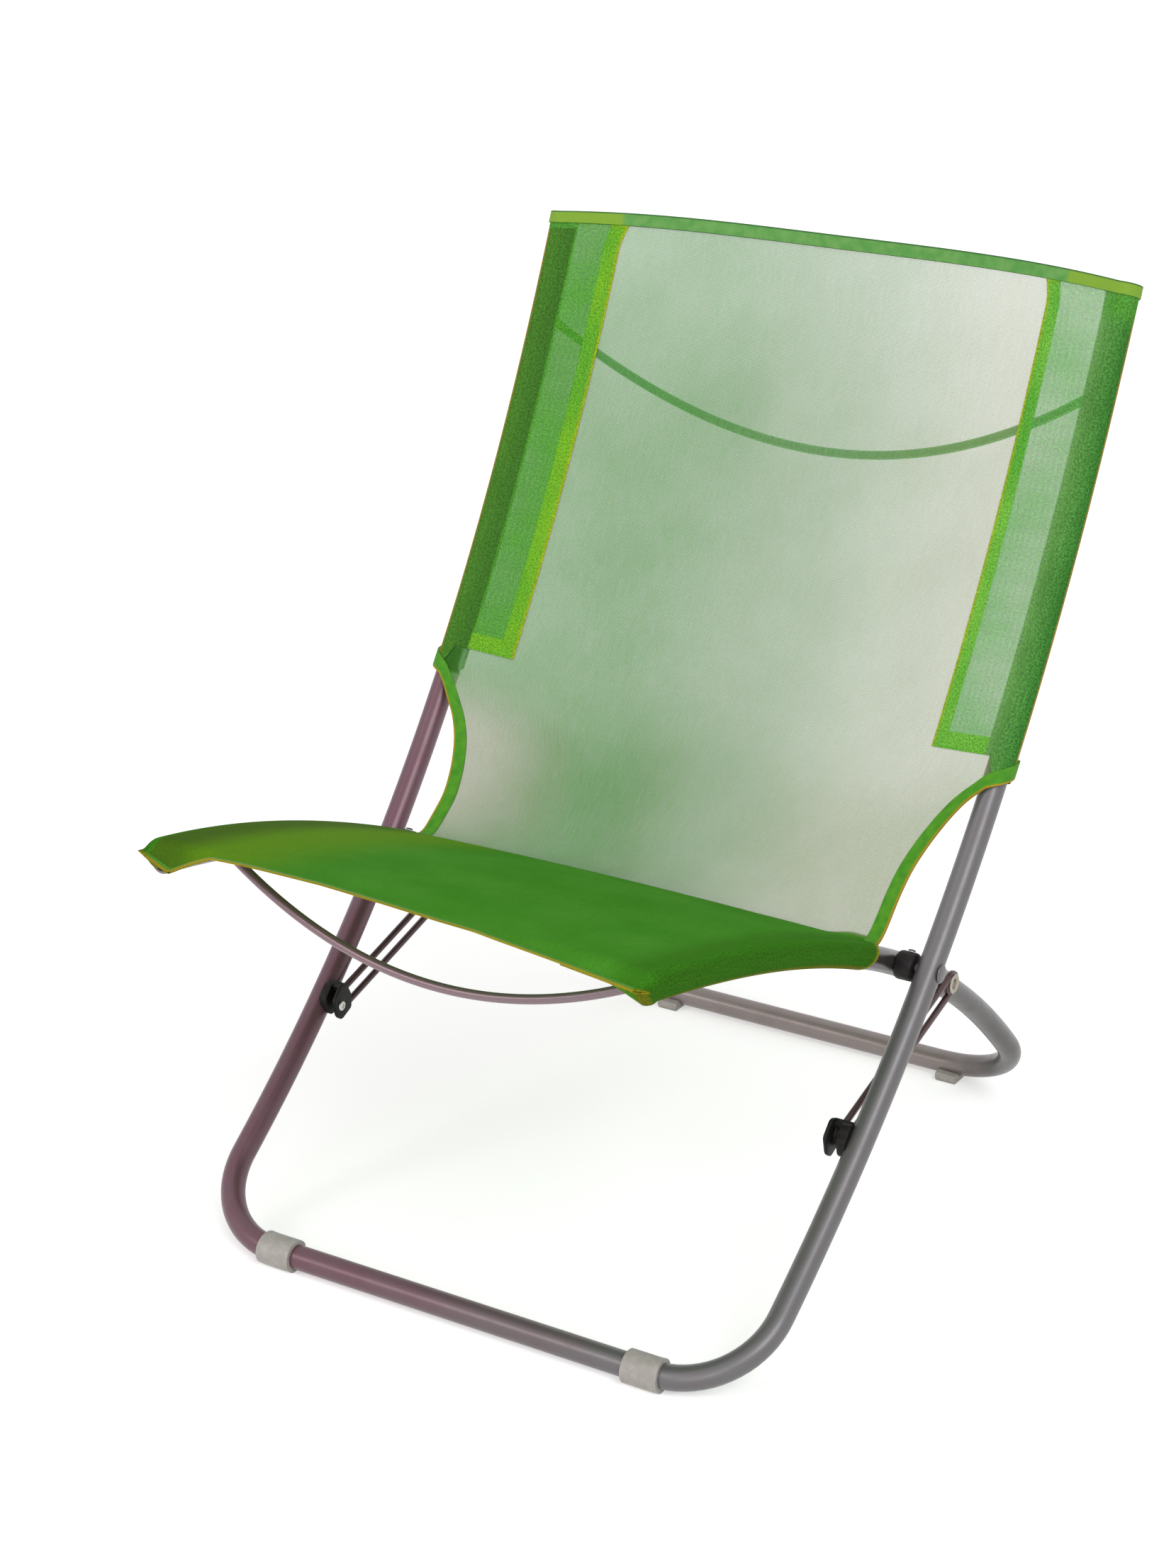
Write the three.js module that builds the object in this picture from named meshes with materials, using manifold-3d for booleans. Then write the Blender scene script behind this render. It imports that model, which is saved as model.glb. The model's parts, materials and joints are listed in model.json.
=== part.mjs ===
// Folding low beach chair: two bent tube frames that cross like scissors, a mesh cloth sling sleeved
// over both, bowed spreader rods, and two slotted wire stays that stop the frames from opening further.
// Millimetres, +Z up, the front of the chair towards -Y, left and right as seen from the front.

import * as THREE from 'three';
import { mergeVertices } from 'three/addons/utils/BufferGeometryUtils.js';
import Module from 'manifold-3d';

const wasm = await Module();
wasm.setup();

// Tubes and fits
const TUBE_DIAMETER = 20;
const TUBE_WALL = 1.2;
const TUBE_SIDES = 12;
const FITTED_SIDES = 16;
const WIRE_SIDES = 8;
const FIT_GAP = 0.3;
const FOOT_WALL = 2.4;

// Steps along the swept pieces and across the cloth
const BEND_STEPS = 7;
const RAIL_STEPS = 16;
const SLEEVE_STEPS = 8;
const SHORT_STEPS = 4;
const HAIRPIN_STEPS = 8;
const ROD_STEPS = 24;
const SADDLE_END_STEPS = 5;
const CLOTH_COLUMNS = 10;
const CLOTH_ROWS = 7;

// Main frame, side view: the rail rises from the front bar and bends slowly upright
const BACK_TOP_REACH = 581;
const BACK_TOP_HEIGHT = 730;
const RAIL_FLOOR_ANGLE = 31.65;
const RAIL_TOP_ANGLE = 66.9;
const FRONT_BEND_RADIUS = 74;

// Seat frame, side view: the leg rises from the rear bar and flattens out into the seat
const REAR_BAR_REACH = 581;
const SEAT_TIP_OVERHANG = 92;
const SEAT_TIP_HEIGHT = 370;
const LEG_FLOOR_ANGLE = 50;
const SEAT_TIP_ANGLE = 10;
const REAR_BEND_RADIUS = 88;

// Widths: the seat frame nests inside the main frame
const SEAT_HALF_WIDTH = 218.5;
const SEAT_TIP_TAPER = 10;
const RAIL_SPLAY = 0.0186;
const RAIL_TOP_TUCK = 4;

// Pivot rivets and the plastic saddles that space the two frames
const RIVET_DIAMETER = 8;
const RIVET_HEAD_DIAMETER = 15;
const RIVET_CROWN_DIAMETER = 10.5;
const RIVET_HEAD_HEIGHT = 2;
const SADDLE_LENGTH = 33;
const SADDLE_HEIGHT = 24;
const SADDLE_HUG = 5;
const SADDLE_SCREW_DIAMETER = 6;
const SADDLE_SCREW_HEIGHT = 1.6;

// Slotted wire stays between the seat legs and the main rails
const STAY_HINGE_DISTANCE = 100;
const STAY_BLOCK_DISTANCE = 143;
const STAY_BLOCK_DROP = 3.5;
const STAY_WIRE_DIAMETER = 5.5;
const STAY_SLOT_WIDTH = 9.8;
const STAY_CLEARANCE = 0.8;
const EYE_THICKNESS = 4;
const PIN_DIAMETER = 8;
const PIN_HEAD_DIAMETER = 13;
const PIN_CROWN_DIAMETER = 10.4;
const PIN_HEAD_HEIGHT = 1.2;
const BAND_WALL = 1.5;
const BAND_LENGTH = 24;
const BLOCK_PLATE = 3;
const BLOCK_HOOD = 4.5;
const BLOCK_SEAT = 6.5;
const BLOCK_FRONT = 17;
const BLOCK_REAR = 17;
const BLOCK_TOP_REAR = 7;
const BLOCK_SKIRT = 9;
const BLOCK_SKIRT_FRONT = 8.5;
const BLOCK_SKIRT_REAR = 10;
const BLOCK_HEEL = 3.5;
const BLOCK_SCREW_DIAMETER = 8;
const BLOCK_SCREW_CROWN_DIAMETER = 4.8;
const BLOCK_SCREW_HEIGHT = 1.8;

// Bowed spreader rods
const ROD_DIAMETER = 7.5;
const BACK_ROD_FROM_TOP = 96;
const BACK_ROD_BOW_BACK = 20;
const BACK_ROD_BOW_DOWN = 86;
const FRONT_ROD_FROM_TIP = 93;
const FRONT_ROD_BOW_FORWARD = 17;
const FRONT_ROD_BOW_DOWN = 58;

// Foot clips: the front offset is from the middle of the bar, the rear one from the end of its straight part
const FOOT_LENGTH = 30;
const FRONT_FOOT_OFFSET = 168;
const REAR_FOOT_OFFSET = 9.5;
const FRONT_SLIT_WIDTH = 8;
const FRONT_SLIT_ANGLE = 23;
const REAR_SLIT_WIDTH = 30;
const REAR_SLIT_ANGLE = 140;
const FOOT_SOLE_CUT = 1;

// End plugs
const PLUG_LENGTH = 12;
const PLUG_CLEARANCE = 0.6;
const PLUG_FLANGE = 2;
const PLUG_CROWN_DIAMETER = 14;

// Cloth sling
const CLOTH_THICKNESS = 1.4;
const CLOTH_SEAM_GAP = 0.9;
const SLEEVE_CLEARANCE = 0.55;
const BACK_SLEEVE_OVERRUN = 16;
const SEAT_SLEEVE_OVERRUN = 22;
const BACK_SLEEVE_LENGTH = 407;
const SEAT_SLEEVE_START = 28;
const BACK_TOP_ARCH = 12;
const BACK_SAG = 20;
const WAIST_SAG = 26;
const SEAT_CROWN = 4;
const WAIST_INSET = 8;
const CUTOUT_DEPTH = 15;
const CUTOUT_UPPER_SHARE = 0.3;
const CUTOUT_LOWER_SHARE = 0.75;

// Values that follow from the sizes above
const TUBE_RADIUS = TUBE_DIAMETER / 2;
const BORE_RADIUS = TUBE_RADIUS - TUBE_WALL;
const BAR_HEIGHT = TUBE_RADIUS + FOOT_WALL;
const SLEEVE_RADIUS = TUBE_RADIUS + SLEEVE_CLEARANCE + CLOTH_THICKNESS;
const CLOTH_OFFSET = SLEEVE_RADIUS - CLOTH_THICKNESS / 2;
const BAND_RADIUS = TUBE_RADIUS + FIT_GAP + BAND_WALL;
const WIRE_RADIUS = STAY_WIRE_DIAMETER / 2;
const WIRE_OFFSET = STAY_SLOT_WIDTH / 2 + WIRE_RADIUS;
const WIRE_PLANE = SEAT_HALF_WIDTH + BAND_RADIUS + STAY_CLEARANCE + WIRE_RADIUS;

const radians = THREE.MathUtils.degToRad;
const point = (x, y, z) => new THREE.Vector3(x, y, z);

// Materials
const finish = (color, roughness, metalness) =>
  new THREE.MeshStandardMaterial({ color, roughness, metalness, side: THREE.DoubleSide });
const greyPaint = finish(0x7a7376, 0.38, 0.6);
const greenMesh = finish(0x4f9a34, 0.85, 0);
const blackPlastic = finish(0x141314, 0.5, 0);
const warmGreyPlastic = finish(0xa39b94, 0.55, 0);
const plainSteel = finish(0xb9b6b2, 0.3, 0.9);

// A path whose stations are given one by one, so bends can have more of them than straight stretches.
class StationPath extends THREE.Curve {
  constructor(stations) {
    super();
    this.stations = stations;
  }

  getPoint(t, target = new THREE.Vector3()) {
    const last = this.stations.length - 1;
    const place = t * last;
    const index = Math.min(Math.floor(place), last - 1);
    return target.lerpVectors(this.stations[index], this.stations[index + 1], place - index);
  }

  getUtoTmapping(u) {
    return u;
  }
}

// Merge the corners of a closed geometry and turn its faces outwards.
function closed(geometry) {
  const bare = geometry.clone();
  bare.deleteAttribute('normal');
  bare.deleteAttribute('uv');
  const merged = mergeVertices(bare, 1e-4);
  const corners = merged.attributes.position;
  const index = merged.index.array;
  const [a, b, c] = [point(), point(), point()];
  let volume = 0;
  for (let i = 0; i < index.length; i += 3) {
    a.fromBufferAttribute(corners, index[i]);
    b.fromBufferAttribute(corners, index[i + 1]);
    c.fromBufferAttribute(corners, index[i + 2]);
    volume += a.dot(b.cross(c));
  }
  if (volume < 0) {
    index.reverse();
  }
  return merged;
}

function toSolid(geometry) {
  const body = closed(geometry);
  const vertProperties = new Float32Array(body.attributes.position.array);
  const triVerts = new Uint32Array(body.index.array);
  return new wasm.Manifold(new wasm.Mesh({ numProp: 3, vertProperties, triVerts }));
}

function fromSolid(solid) {
  const mesh = solid.getMesh();
  const geometry = new THREE.BufferGeometry();
  geometry.setAttribute('position', new THREE.BufferAttribute(new Float32Array(mesh.vertProperties), 3));
  geometry.setIndex(new THREE.BufferAttribute(new Uint32Array(mesh.triVerts), 1));
  return geometry;
}

function join(first, ...others) {
  return fromSolid(others.reduce((body, other) => body.add(toSolid(other)), toSolid(first)));
}

function cut(first, ...cutters) {
  return fromSolid(cutters.reduce((body, cutter) => body.subtract(toSolid(cutter)), toSolid(first)));
}

// Flat outlines
function circlePoints(radius, sides) {
  return Array.from({ length: sides }, (_, i) => {
    const angle = (2 * Math.PI * i) / sides;
    return new THREE.Vector2(radius * Math.cos(angle), radius * Math.sin(angle));
  });
}

function disc(radius, sides = TUBE_SIDES) {
  return new THREE.Shape(circlePoints(radius, sides));
}

function ring(outer, inner, sides = TUBE_SIDES) {
  const shape = disc(outer, sides);
  shape.holes.push(new THREE.Path(circlePoints(inner, sides).reverse()));
  return shape;
}

// A section swept along stations.
function sweep(section, stations) {
  const extrudePath = new StationPath(stations);
  return closed(new THREE.ExtrudeGeometry(section, { steps: stations.length - 1, extrudePath }));
}

// An outline in the side view (Y, Z) given a thickness from x0 to x1.
const SIDE_VIEW = new THREE.Matrix4().makeBasis(point(0, 1, 0), point(0, 0, 1), point(1, 0, 0));
function sidePlate(shape, x0, x1) {
  const plate = new THREE.ExtrudeGeometry(shape, { depth: x1 - x0, bevelEnabled: false });
  plate.applyMatrix4(SIDE_VIEW);
  plate.translate(x0, 0, 0);
  return closed(plate);
}

// A turned piece: profile points are [radius, distance along the axis].
function turned(profile, origin, axis, sides = TUBE_SIDES) {
  const outline = profile.map(([radius, along]) => new THREE.Vector2(radius, along));
  const body = new THREE.LatheGeometry(outline, sides);
  const turn = new THREE.Quaternion().setFromUnitVectors(point(0, 1, 0), axis);
  body.applyQuaternion(turn);
  body.translate(origin.x, origin.y, origin.z);
  return closed(body);
}

function crossBar(radius, y, z, x0, x1) {
  return turned([[0, 0], [radius, 0], [radius, x1 - x0], [0, x1 - x0]], point(x0, y, z), point(1, 0, 0));
}

function mirrored(geometry) {
  const copy = closed(geometry);
  copy.scale(-1, 1, 1);
  return closed(copy);
}

// A frame's side view: one slow bend between two points with the given headings.
function slowBend(start, startHeading, end, endHeading) {
  const [a, b] = [radians(startHeading), radians(endHeading)];
  const [dy, dz] = [end.y - start.y, end.z - start.z];
  const reach = (dy * Math.sin(b) - dz * Math.cos(b)) / Math.sin(b - a);
  const corner = point(0, start.y + reach * Math.cos(a), start.z + reach * Math.sin(a));
  const curve = new THREE.QuadraticBezierCurve3(start, corner, end);
  curve.arcLengthDivisions = 600;
  return curve;
}

// A tube bent to a U: a bar on the floor, two bends, and two rails that follow the side view. The side
// view runs to the edge of the cloth, and the tube stops short of it inside the sleeve.
class BentFrame {
  constructor(profile, halfWidth, bendRadius, sleeveOverrun) {
    this.profile = profile;
    this.halfWidth = halfWidth;
    this.bendRadius = bendRadius;
    this.length = profile.getLength();
    this.tubeEnd = this.length - sleeveOverrun;
    this.barHalf = halfWidth(bendRadius) - bendRadius;
  }

  side(s) {
    return this.profile.getPointAt(THREE.MathUtils.clamp(s / this.length, 0, 1));
  }

  heading(s) {
    return this.profile.getTangentAt(THREE.MathUtils.clamp(s / this.length, 0, 1));
  }

  onRail(s) {
    const place = this.side(s);
    return point(this.halfWidth(s), place.y, place.z);
  }

  onBend(angle) {
    const place = this.side(this.bendRadius * (1 - Math.cos(angle)));
    return point(this.barHalf + this.bendRadius * Math.sin(angle), place.y, place.z);
  }

  // A point on the bar or the right bend, by its distance from the middle of the bar.
  fromMiddle(distance) {
    const round = Math.max(0, distance - this.barHalf);
    return round > 0 ? this.onBend(round / this.bendRadius) : point(distance, this.side(0).y, this.side(0).z);
  }

  railStations(from, to, count) {
    return Array.from({ length: count + 1 }, (_, i) => this.onRail(from + ((to - from) * i) / count));
  }

  stations() {
    const bend = Array.from({ length: BEND_STEPS }, (_, i) => this.onBend((i * Math.PI) / 2 / BEND_STEPS));
    const right = [...bend, ...this.railStations(this.bendRadius, this.tubeEnd, RAIL_STEPS)];
    const left = right.map((p) => point(-p.x, p.y, p.z)).reverse();
    return [...left, ...right];
  }
}

const mainProfile = slowBend(
  point(0, 0, BAR_HEIGHT),
  RAIL_FLOOR_ANGLE,
  point(0, BACK_TOP_REACH, BACK_TOP_HEIGHT),
  RAIL_TOP_ANGLE,
);
const seatProfile = slowBend(
  point(0, REAR_BAR_REACH, BAR_HEIGHT),
  180 - LEG_FLOOR_ANGLE,
  point(0, -SEAT_TIP_OVERHANG, SEAT_TIP_HEIGHT),
  180 - SEAT_TIP_ANGLE,
);

// Where the two side views cross: the seat curve's distance from the main curve changes sign there.
function findCrossing() {
  const mainLength = mainProfile.getLength();
  const seatLength = seatProfile.getLength();
  const nearest = (p) => {
    let [low, high] = [0, 1];
    for (let i = 0; i < 50; i += 1) {
      const middle = (low + high) / 2;
      const ahead = p.clone().sub(mainProfile.getPointAt(middle)).dot(mainProfile.getTangentAt(middle));
      [low, high] = ahead > 0 ? [middle, high] : [low, middle];
    }
    return (low + high) / 2;
  };
  const behind = (u) => {
    const p = seatProfile.getPointAt(u);
    const v = nearest(p);
    const across = p.clone().sub(mainProfile.getPointAt(v));
    const along = mainProfile.getTangentAt(v);
    return across.y * along.z - across.z * along.y;
  };
  let [low, high] = [0, 1];
  for (let i = 0; i < 50; i += 1) {
    const middle = (low + high) / 2;
    [low, high] = behind(middle) > 0 ? [middle, high] : [low, middle];
  }
  return { onSeat: low * seatLength, onMain: nearest(seatProfile.getPointAt(low)) * mainLength };
}

const crossing = findCrossing();

// The rails close in towards the floor, and even there a folded stay still lies inside them. Above the
// pivots they straighten a little towards the top.
const railHalfAtFloor = WIRE_PLANE + WIRE_RADIUS + STAY_CLEARANCE + TUBE_RADIUS;
const railHalf = (s) => {
  const upward = Math.max(0, s - crossing.onMain) / (mainProfile.getLength() - crossing.onMain);
  return railHalfAtFloor + RAIL_SPLAY * s - RAIL_TOP_TUCK * upward ** 2;
};
const seatHalf = (s) => {
  const forward = Math.max(0, s - crossing.onSeat) / (seatProfile.getLength() - crossing.onSeat);
  return SEAT_HALF_WIDTH - SEAT_TIP_TAPER * forward ** 2;
};
const mainFrame = new BentFrame(mainProfile, railHalf, FRONT_BEND_RADIUS, BACK_SLEEVE_OVERRUN);
const seatFrame = new BentFrame(seatProfile, seatHalf, REAR_BEND_RADIUS, SEAT_SLEEVE_OVERRUN);
const pivot = seatFrame.side(crossing.onSeat);
const railInner = railHalf(crossing.onMain) - TUBE_RADIUS;
const railOuter = railHalf(crossing.onMain) + TUBE_RADIUS;

const chair = new THREE.Group();

function add(name, geometry, material) {
  const mesh = new THREE.Mesh(closed(geometry), material);
  mesh.name = name;
  chair.add(mesh);
}

function addPair(name, rightGeometry, material) {
  add(`${name}_right`, rightGeometry, material);
  add(`${name}_left`, mirrored(rightGeometry), material);
}

// The two frames: bent round tube, drilled across for the pivot rivets
const tubeSection = ring(TUBE_RADIUS, BORE_RADIUS);
const rivetHole = crossBar(RIVET_DIAMETER / 2 + FIT_GAP, pivot.y, pivot.z, -2 * railOuter, 2 * railOuter);
const mainTube = cut(sweep(tubeSection, mainFrame.stations()), rivetHole);
const seatTube = cut(sweep(tubeSection, seatFrame.stations()), rivetHole);
add('main_frame_tube', mainTube, greyPaint);
add('seat_frame_tube', seatTube, greyPaint);

// Plastic plugs in the four open tube ends
function endPlug(frame) {
  const plugRadius = BORE_RADIUS * Math.cos(Math.PI / TUBE_SIDES) - PLUG_CLEARANCE;
  const profile = [
    [0, -PLUG_LENGTH],
    [plugRadius, -PLUG_LENGTH],
    [plugRadius, FIT_GAP],
    [TUBE_RADIUS, FIT_GAP],
    [TUBE_RADIUS, FIT_GAP + PLUG_FLANGE / 2],
    [PLUG_CROWN_DIAMETER / 2, FIT_GAP + PLUG_FLANGE],
    [0, FIT_GAP + PLUG_FLANGE],
  ];
  const end = frame.onRail(frame.tubeEnd);
  const before = frame.onRail(frame.tubeEnd - 1);
  return turned(profile, end, end.clone().sub(before).normalize());
}
addPair('rail_end_plug', endPlug(mainFrame), blackPlastic);
addPair('seat_end_plug', endPlug(seatFrame), blackPlastic);

// The room that a frame's tube needs inside a piece that hugs it
const fittedRadius = (TUBE_RADIUS + FIT_GAP) / Math.cos(Math.PI / FITTED_SIDES);
const tubeSpace = (frame) => sweep(disc(fittedRadius, FITTED_SIDES), frame.stations());
const mainTubeSpace = tubeSpace(mainFrame);
const seatTubeSpace = tubeSpace(seatFrame);

// Foot clips: a ring round the front bar with a slit at the back of it, and a half ring under the rear bar,
// open towards the front. Both are cut flat where they stand on the floor.
function footClip(frame, space, offset, slitWidth, slitAngle) {
  const outer = BAR_HEIGHT + FOOT_SOLE_CUT;
  const stations = Array.from({ length: SHORT_STEPS + 1 }, (_, i) =>
    frame.fromMiddle(offset + FOOT_LENGTH * (i / SHORT_STEPS - 0.5)),
  );
  const clip = sweep(ring(outer, TUBE_RADIUS - FIT_GAP, FITTED_SIDES), stations);
  const bar = frame.side(0);
  const slit = new THREE.BoxGeometry(4 * FOOT_LENGTH, 2 * outer, slitWidth);
  slit.translate(0, outer, 0);
  slit.rotateX(radians(slitAngle));
  slit.translate(offset, bar.y, bar.z);
  const below = new THREE.BoxGeometry(4 * FOOT_LENGTH, 4 * outer, 2 * outer);
  below.translate(offset, bar.y, -outer);
  return cut(clip, below, space, slit);
}
const frontFoot = footClip(mainFrame, mainTubeSpace, FRONT_FOOT_OFFSET, FRONT_SLIT_WIDTH, FRONT_SLIT_ANGLE);
const rearFootMiddle = seatFrame.barHalf + REAR_FOOT_OFFSET;
const rearFoot = footClip(seatFrame, seatTubeSpace, rearFootMiddle, REAR_SLIT_WIDTH, REAR_SLIT_ANGLE);
addPair('front_foot', frontFoot, warmGreyPlastic);
addPair('rear_foot', rearFoot, warmGreyPlastic);

// Pivot saddles: plastic blocks that hug the seat tube and hold the main rail off it
const seatHeading = seatFrame.heading(crossing.onSeat);
const seatTurn = Math.atan2(seatHeading.z, seatHeading.y);
function saddle() {
  const end = SADDLE_HEIGHT / 2;
  const straight = SADDLE_LENGTH / 2 - end;
  const outline = new THREE.Shape();
  outline.absarc(straight, 0, end, -Math.PI / 2, Math.PI / 2);
  outline.absarc(-straight, 0, end, Math.PI / 2, (3 * Math.PI) / 2);
  const middle = new THREE.Vector2();
  const corners = outline.getPoints(SADDLE_END_STEPS).map((p) => p.rotateAround(middle, seatTurn));
  const flat = new THREE.Shape(corners);
  const faceGap = FIT_GAP + (RAIL_SPLAY * SADDLE_LENGTH) / 2;
  const block = sidePlate(flat, SEAT_HALF_WIDTH + SADDLE_HUG, railInner - faceGap);
  block.translate(0, pivot.y, pivot.z);
  return cut(block, seatTubeSpace, rivetHole);
}
addPair('pivot_saddle', saddle(), blackPlastic);

function saddleScrew() {
  const up = point(0, -seatHeading.z, seatHeading.y);
  const out = up.z > 0 ? up : up.negate();
  const depth = SADDLE_HEIGHT / 2 + FIT_GAP;
  const x = (SEAT_HALF_WIDTH + TUBE_RADIUS + railInner) / 2;
  const seatPlace = pivot.clone().addScaledVector(out, depth);
  const radius = SADDLE_SCREW_DIAMETER / 2;
  const profile = [[0, 0], [radius, 0], [radius, SADDLE_SCREW_HEIGHT / 2], [0, SADDLE_SCREW_HEIGHT]];
  return turned(profile, point(x, seatPlace.y, seatPlace.z), out);
}
addPair('saddle_screw', saddleScrew(), plainSteel);

// Pivot rivets: one on each side, through the main rail, the saddle and the seat tube
function pivotRivet() {
  const inside = SEAT_HALF_WIDTH - TUBE_RADIUS - FIT_GAP;
  const outside = railOuter + FIT_GAP;
  const [shank, head, crown] = [RIVET_DIAMETER / 2, RIVET_HEAD_DIAMETER / 2, RIVET_CROWN_DIAMETER / 2];
  const length = outside - inside;
  const profile = [
    [0, -RIVET_HEAD_HEIGHT],
    [crown, -RIVET_HEAD_HEIGHT],
    [head, 0],
    [shank, 0],
    [shank, length],
    [head, length],
    [crown, length + RIVET_HEAD_HEIGHT],
    [0, length + RIVET_HEAD_HEIGHT],
  ];
  return turned(profile, point(inside, pivot.y, pivot.z), point(1, 0, 0));
}
addPair('pivot_rivet', pivotRivet(), plainSteel);

// Slotted stays: a hairpin of wire, hinged on the seat leg, its slot running past a block on the rail
const hingeStation = crossing.onSeat - STAY_HINGE_DISTANCE;
const blockStation = crossing.onMain - STAY_BLOCK_DISTANCE;
const hinge = seatFrame.side(hingeStation);
const railHeading = mainFrame.heading(blockStation);
const stayEnd = mainFrame
  .side(blockStation)
  .addScaledVector(point(0, railHeading.z, -railHeading.y), STAY_BLOCK_DROP);
const stayAlong = stayEnd.clone().sub(hinge).normalize();
const stayAcross = point(0, stayAlong.z, -stayAlong.y);

// A place in the stay's own plane: distance from its slot end, and height above its middle line.
const byStay = (along, up) =>
  stayEnd.clone().addScaledVector(stayAlong, along).addScaledVector(stayAcross, up);

function stay() {
  const length = stayEnd.distanceTo(hinge);
  const eyeRadius = WIRE_OFFSET + WIRE_RADIUS;
  const start = WIRE_RADIUS - length;
  const round = Array.from({ length: HAIRPIN_STEPS + 1 }, (_, i) => {
    const angle = Math.PI / 2 - (Math.PI * i) / HAIRPIN_STEPS;
    return byStay(WIRE_OFFSET * Math.cos(angle), WIRE_OFFSET * Math.sin(angle));
  });
  const stations = [byStay(start, WIRE_OFFSET), ...round, byStay(start, -WIRE_OFFSET)];
  const hairpin = sweep(disc(WIRE_RADIUS, WIRE_SIDES), stations);
  hairpin.translate(WIRE_PLANE, 0, 0);
  const eyeShape = ring(eyeRadius, PIN_DIAMETER / 2 + FIT_GAP, FITTED_SIDES);
  const eye = sidePlate(eyeShape, WIRE_PLANE - EYE_THICKNESS / 2, WIRE_PLANE + EYE_THICKNESS / 2);
  eye.translate(0, hinge.y, hinge.z);
  return join(hairpin, eye);
}
addPair('stay', stay(), greyPaint);

function stayBand() {
  const [from, to] = [hingeStation - BAND_LENGTH / 2, hingeStation + BAND_LENGTH / 2];
  const stations = seatFrame.railStations(from, to, SHORT_STEPS);
  return sweep(ring(BAND_RADIUS, fittedRadius, FITTED_SIDES), stations);
}
addPair('stay_band', stayBand(), greyPaint);

function stayPin() {
  const base = SEAT_HALF_WIDTH + BAND_RADIUS + FIT_GAP;
  const length = WIRE_PLANE + EYE_THICKNESS / 2 + FIT_GAP - base;
  const [shank, head, crown] = [PIN_DIAMETER / 2, PIN_HEAD_DIAMETER / 2, PIN_CROWN_DIAMETER / 2];
  const tip = length + PIN_HEAD_HEIGHT;
  const profile = [[0, 0], [shank, 0], [shank, length], [head, length], [crown, tip], [0, tip]];
  return turned(profile, point(base, hinge.y, hinge.z), point(1, 0, 0));
}
addPair('stay_pin', stayPin(), plainSteel);

// Guide blocks: a plate over the wires with a hood ahead of and above them, seated on the rail; open below
const plateOuter = WIRE_PLANE - WIRE_RADIUS - STAY_CLEARANCE;
const plateInner = plateOuter - BLOCK_PLATE;
function guideBlock() {
  const outline = (corners) =>
    new THREE.Shape(corners.map(([along, up]) => byStay(along, up)).map((p) => new THREE.Vector2(p.y, p.z)));
  const under = WIRE_OFFSET + WIRE_RADIUS + STAY_CLEARANCE;
  const top = under + BLOCK_HOOD;
  const plateOutline = outline([
    [-BLOCK_REAR, BLOCK_HEEL],
    [-BLOCK_SKIRT_REAR, -BLOCK_SKIRT],
    [BLOCK_SKIRT_FRONT, -BLOCK_SKIRT],
    [BLOCK_FRONT, 0],
    [BLOCK_FRONT, top],
    [-BLOCK_TOP_REAR, top],
  ]);
  const hoodOutline = outline([
    [0, under],
    [BLOCK_FRONT, under],
    [BLOCK_FRONT, top],
    [0, top],
  ]);
  const plate = sidePlate(plateOutline, plateInner, plateOuter);
  const hood = sidePlate(hoodOutline, plateInner, railHalf(blockStation) - BLOCK_SEAT);
  return cut(join(plate, hood), mainTubeSpace);
}
addPair('guide_block', guideBlock(), blackPlastic);

function blockScrew() {
  const [radius, crown] = [BLOCK_SCREW_DIAMETER / 2, BLOCK_SCREW_CROWN_DIAMETER / 2];
  const tip = BLOCK_SCREW_HEIGHT;
  const profile = [[0, 0], [radius, 0], [radius, tip / 2], [crown, tip], [0, tip]];
  const place = byStay(0, 0);
  return turned(profile, point(plateInner - FIT_GAP, place.y, place.z), point(-1, 0, 0));
}
addPair('block_screw', blockScrew(), plainSteel);

// Spreader rods: bowed round bar between the two rails of each frame
function rodStations(frame, station, bowY, bowZ) {
  const end = frame.onRail(station);
  return Array.from({ length: ROD_STEPS + 1 }, (_, i) => {
    const across = (2 * i) / ROD_STEPS - 1;
    const bow = 1 - across ** 2;
    return point(end.x * across, end.y + bowY * bow, end.z + bowZ * bow);
  });
}

function spreaderRod(space, stations) {
  return cut(sweep(disc(ROD_DIAMETER / 2, WIRE_SIDES), stations), space);
}
const backRodLine = rodStations(
  mainFrame,
  mainFrame.length - BACK_ROD_FROM_TOP,
  BACK_ROD_BOW_BACK,
  -BACK_ROD_BOW_DOWN,
);
const frontRodLine = rodStations(
  seatFrame,
  seatFrame.length - FRONT_ROD_FROM_TIP,
  -FRONT_ROD_BOW_FORWARD,
  -FRONT_ROD_BOW_DOWN,
);
add('back_rod', spreaderRod(mainTubeSpace, backRodLine), greyPaint);
add('front_rod', spreaderRod(seatTubeSpace, frontRodLine), greyPaint);

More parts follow.
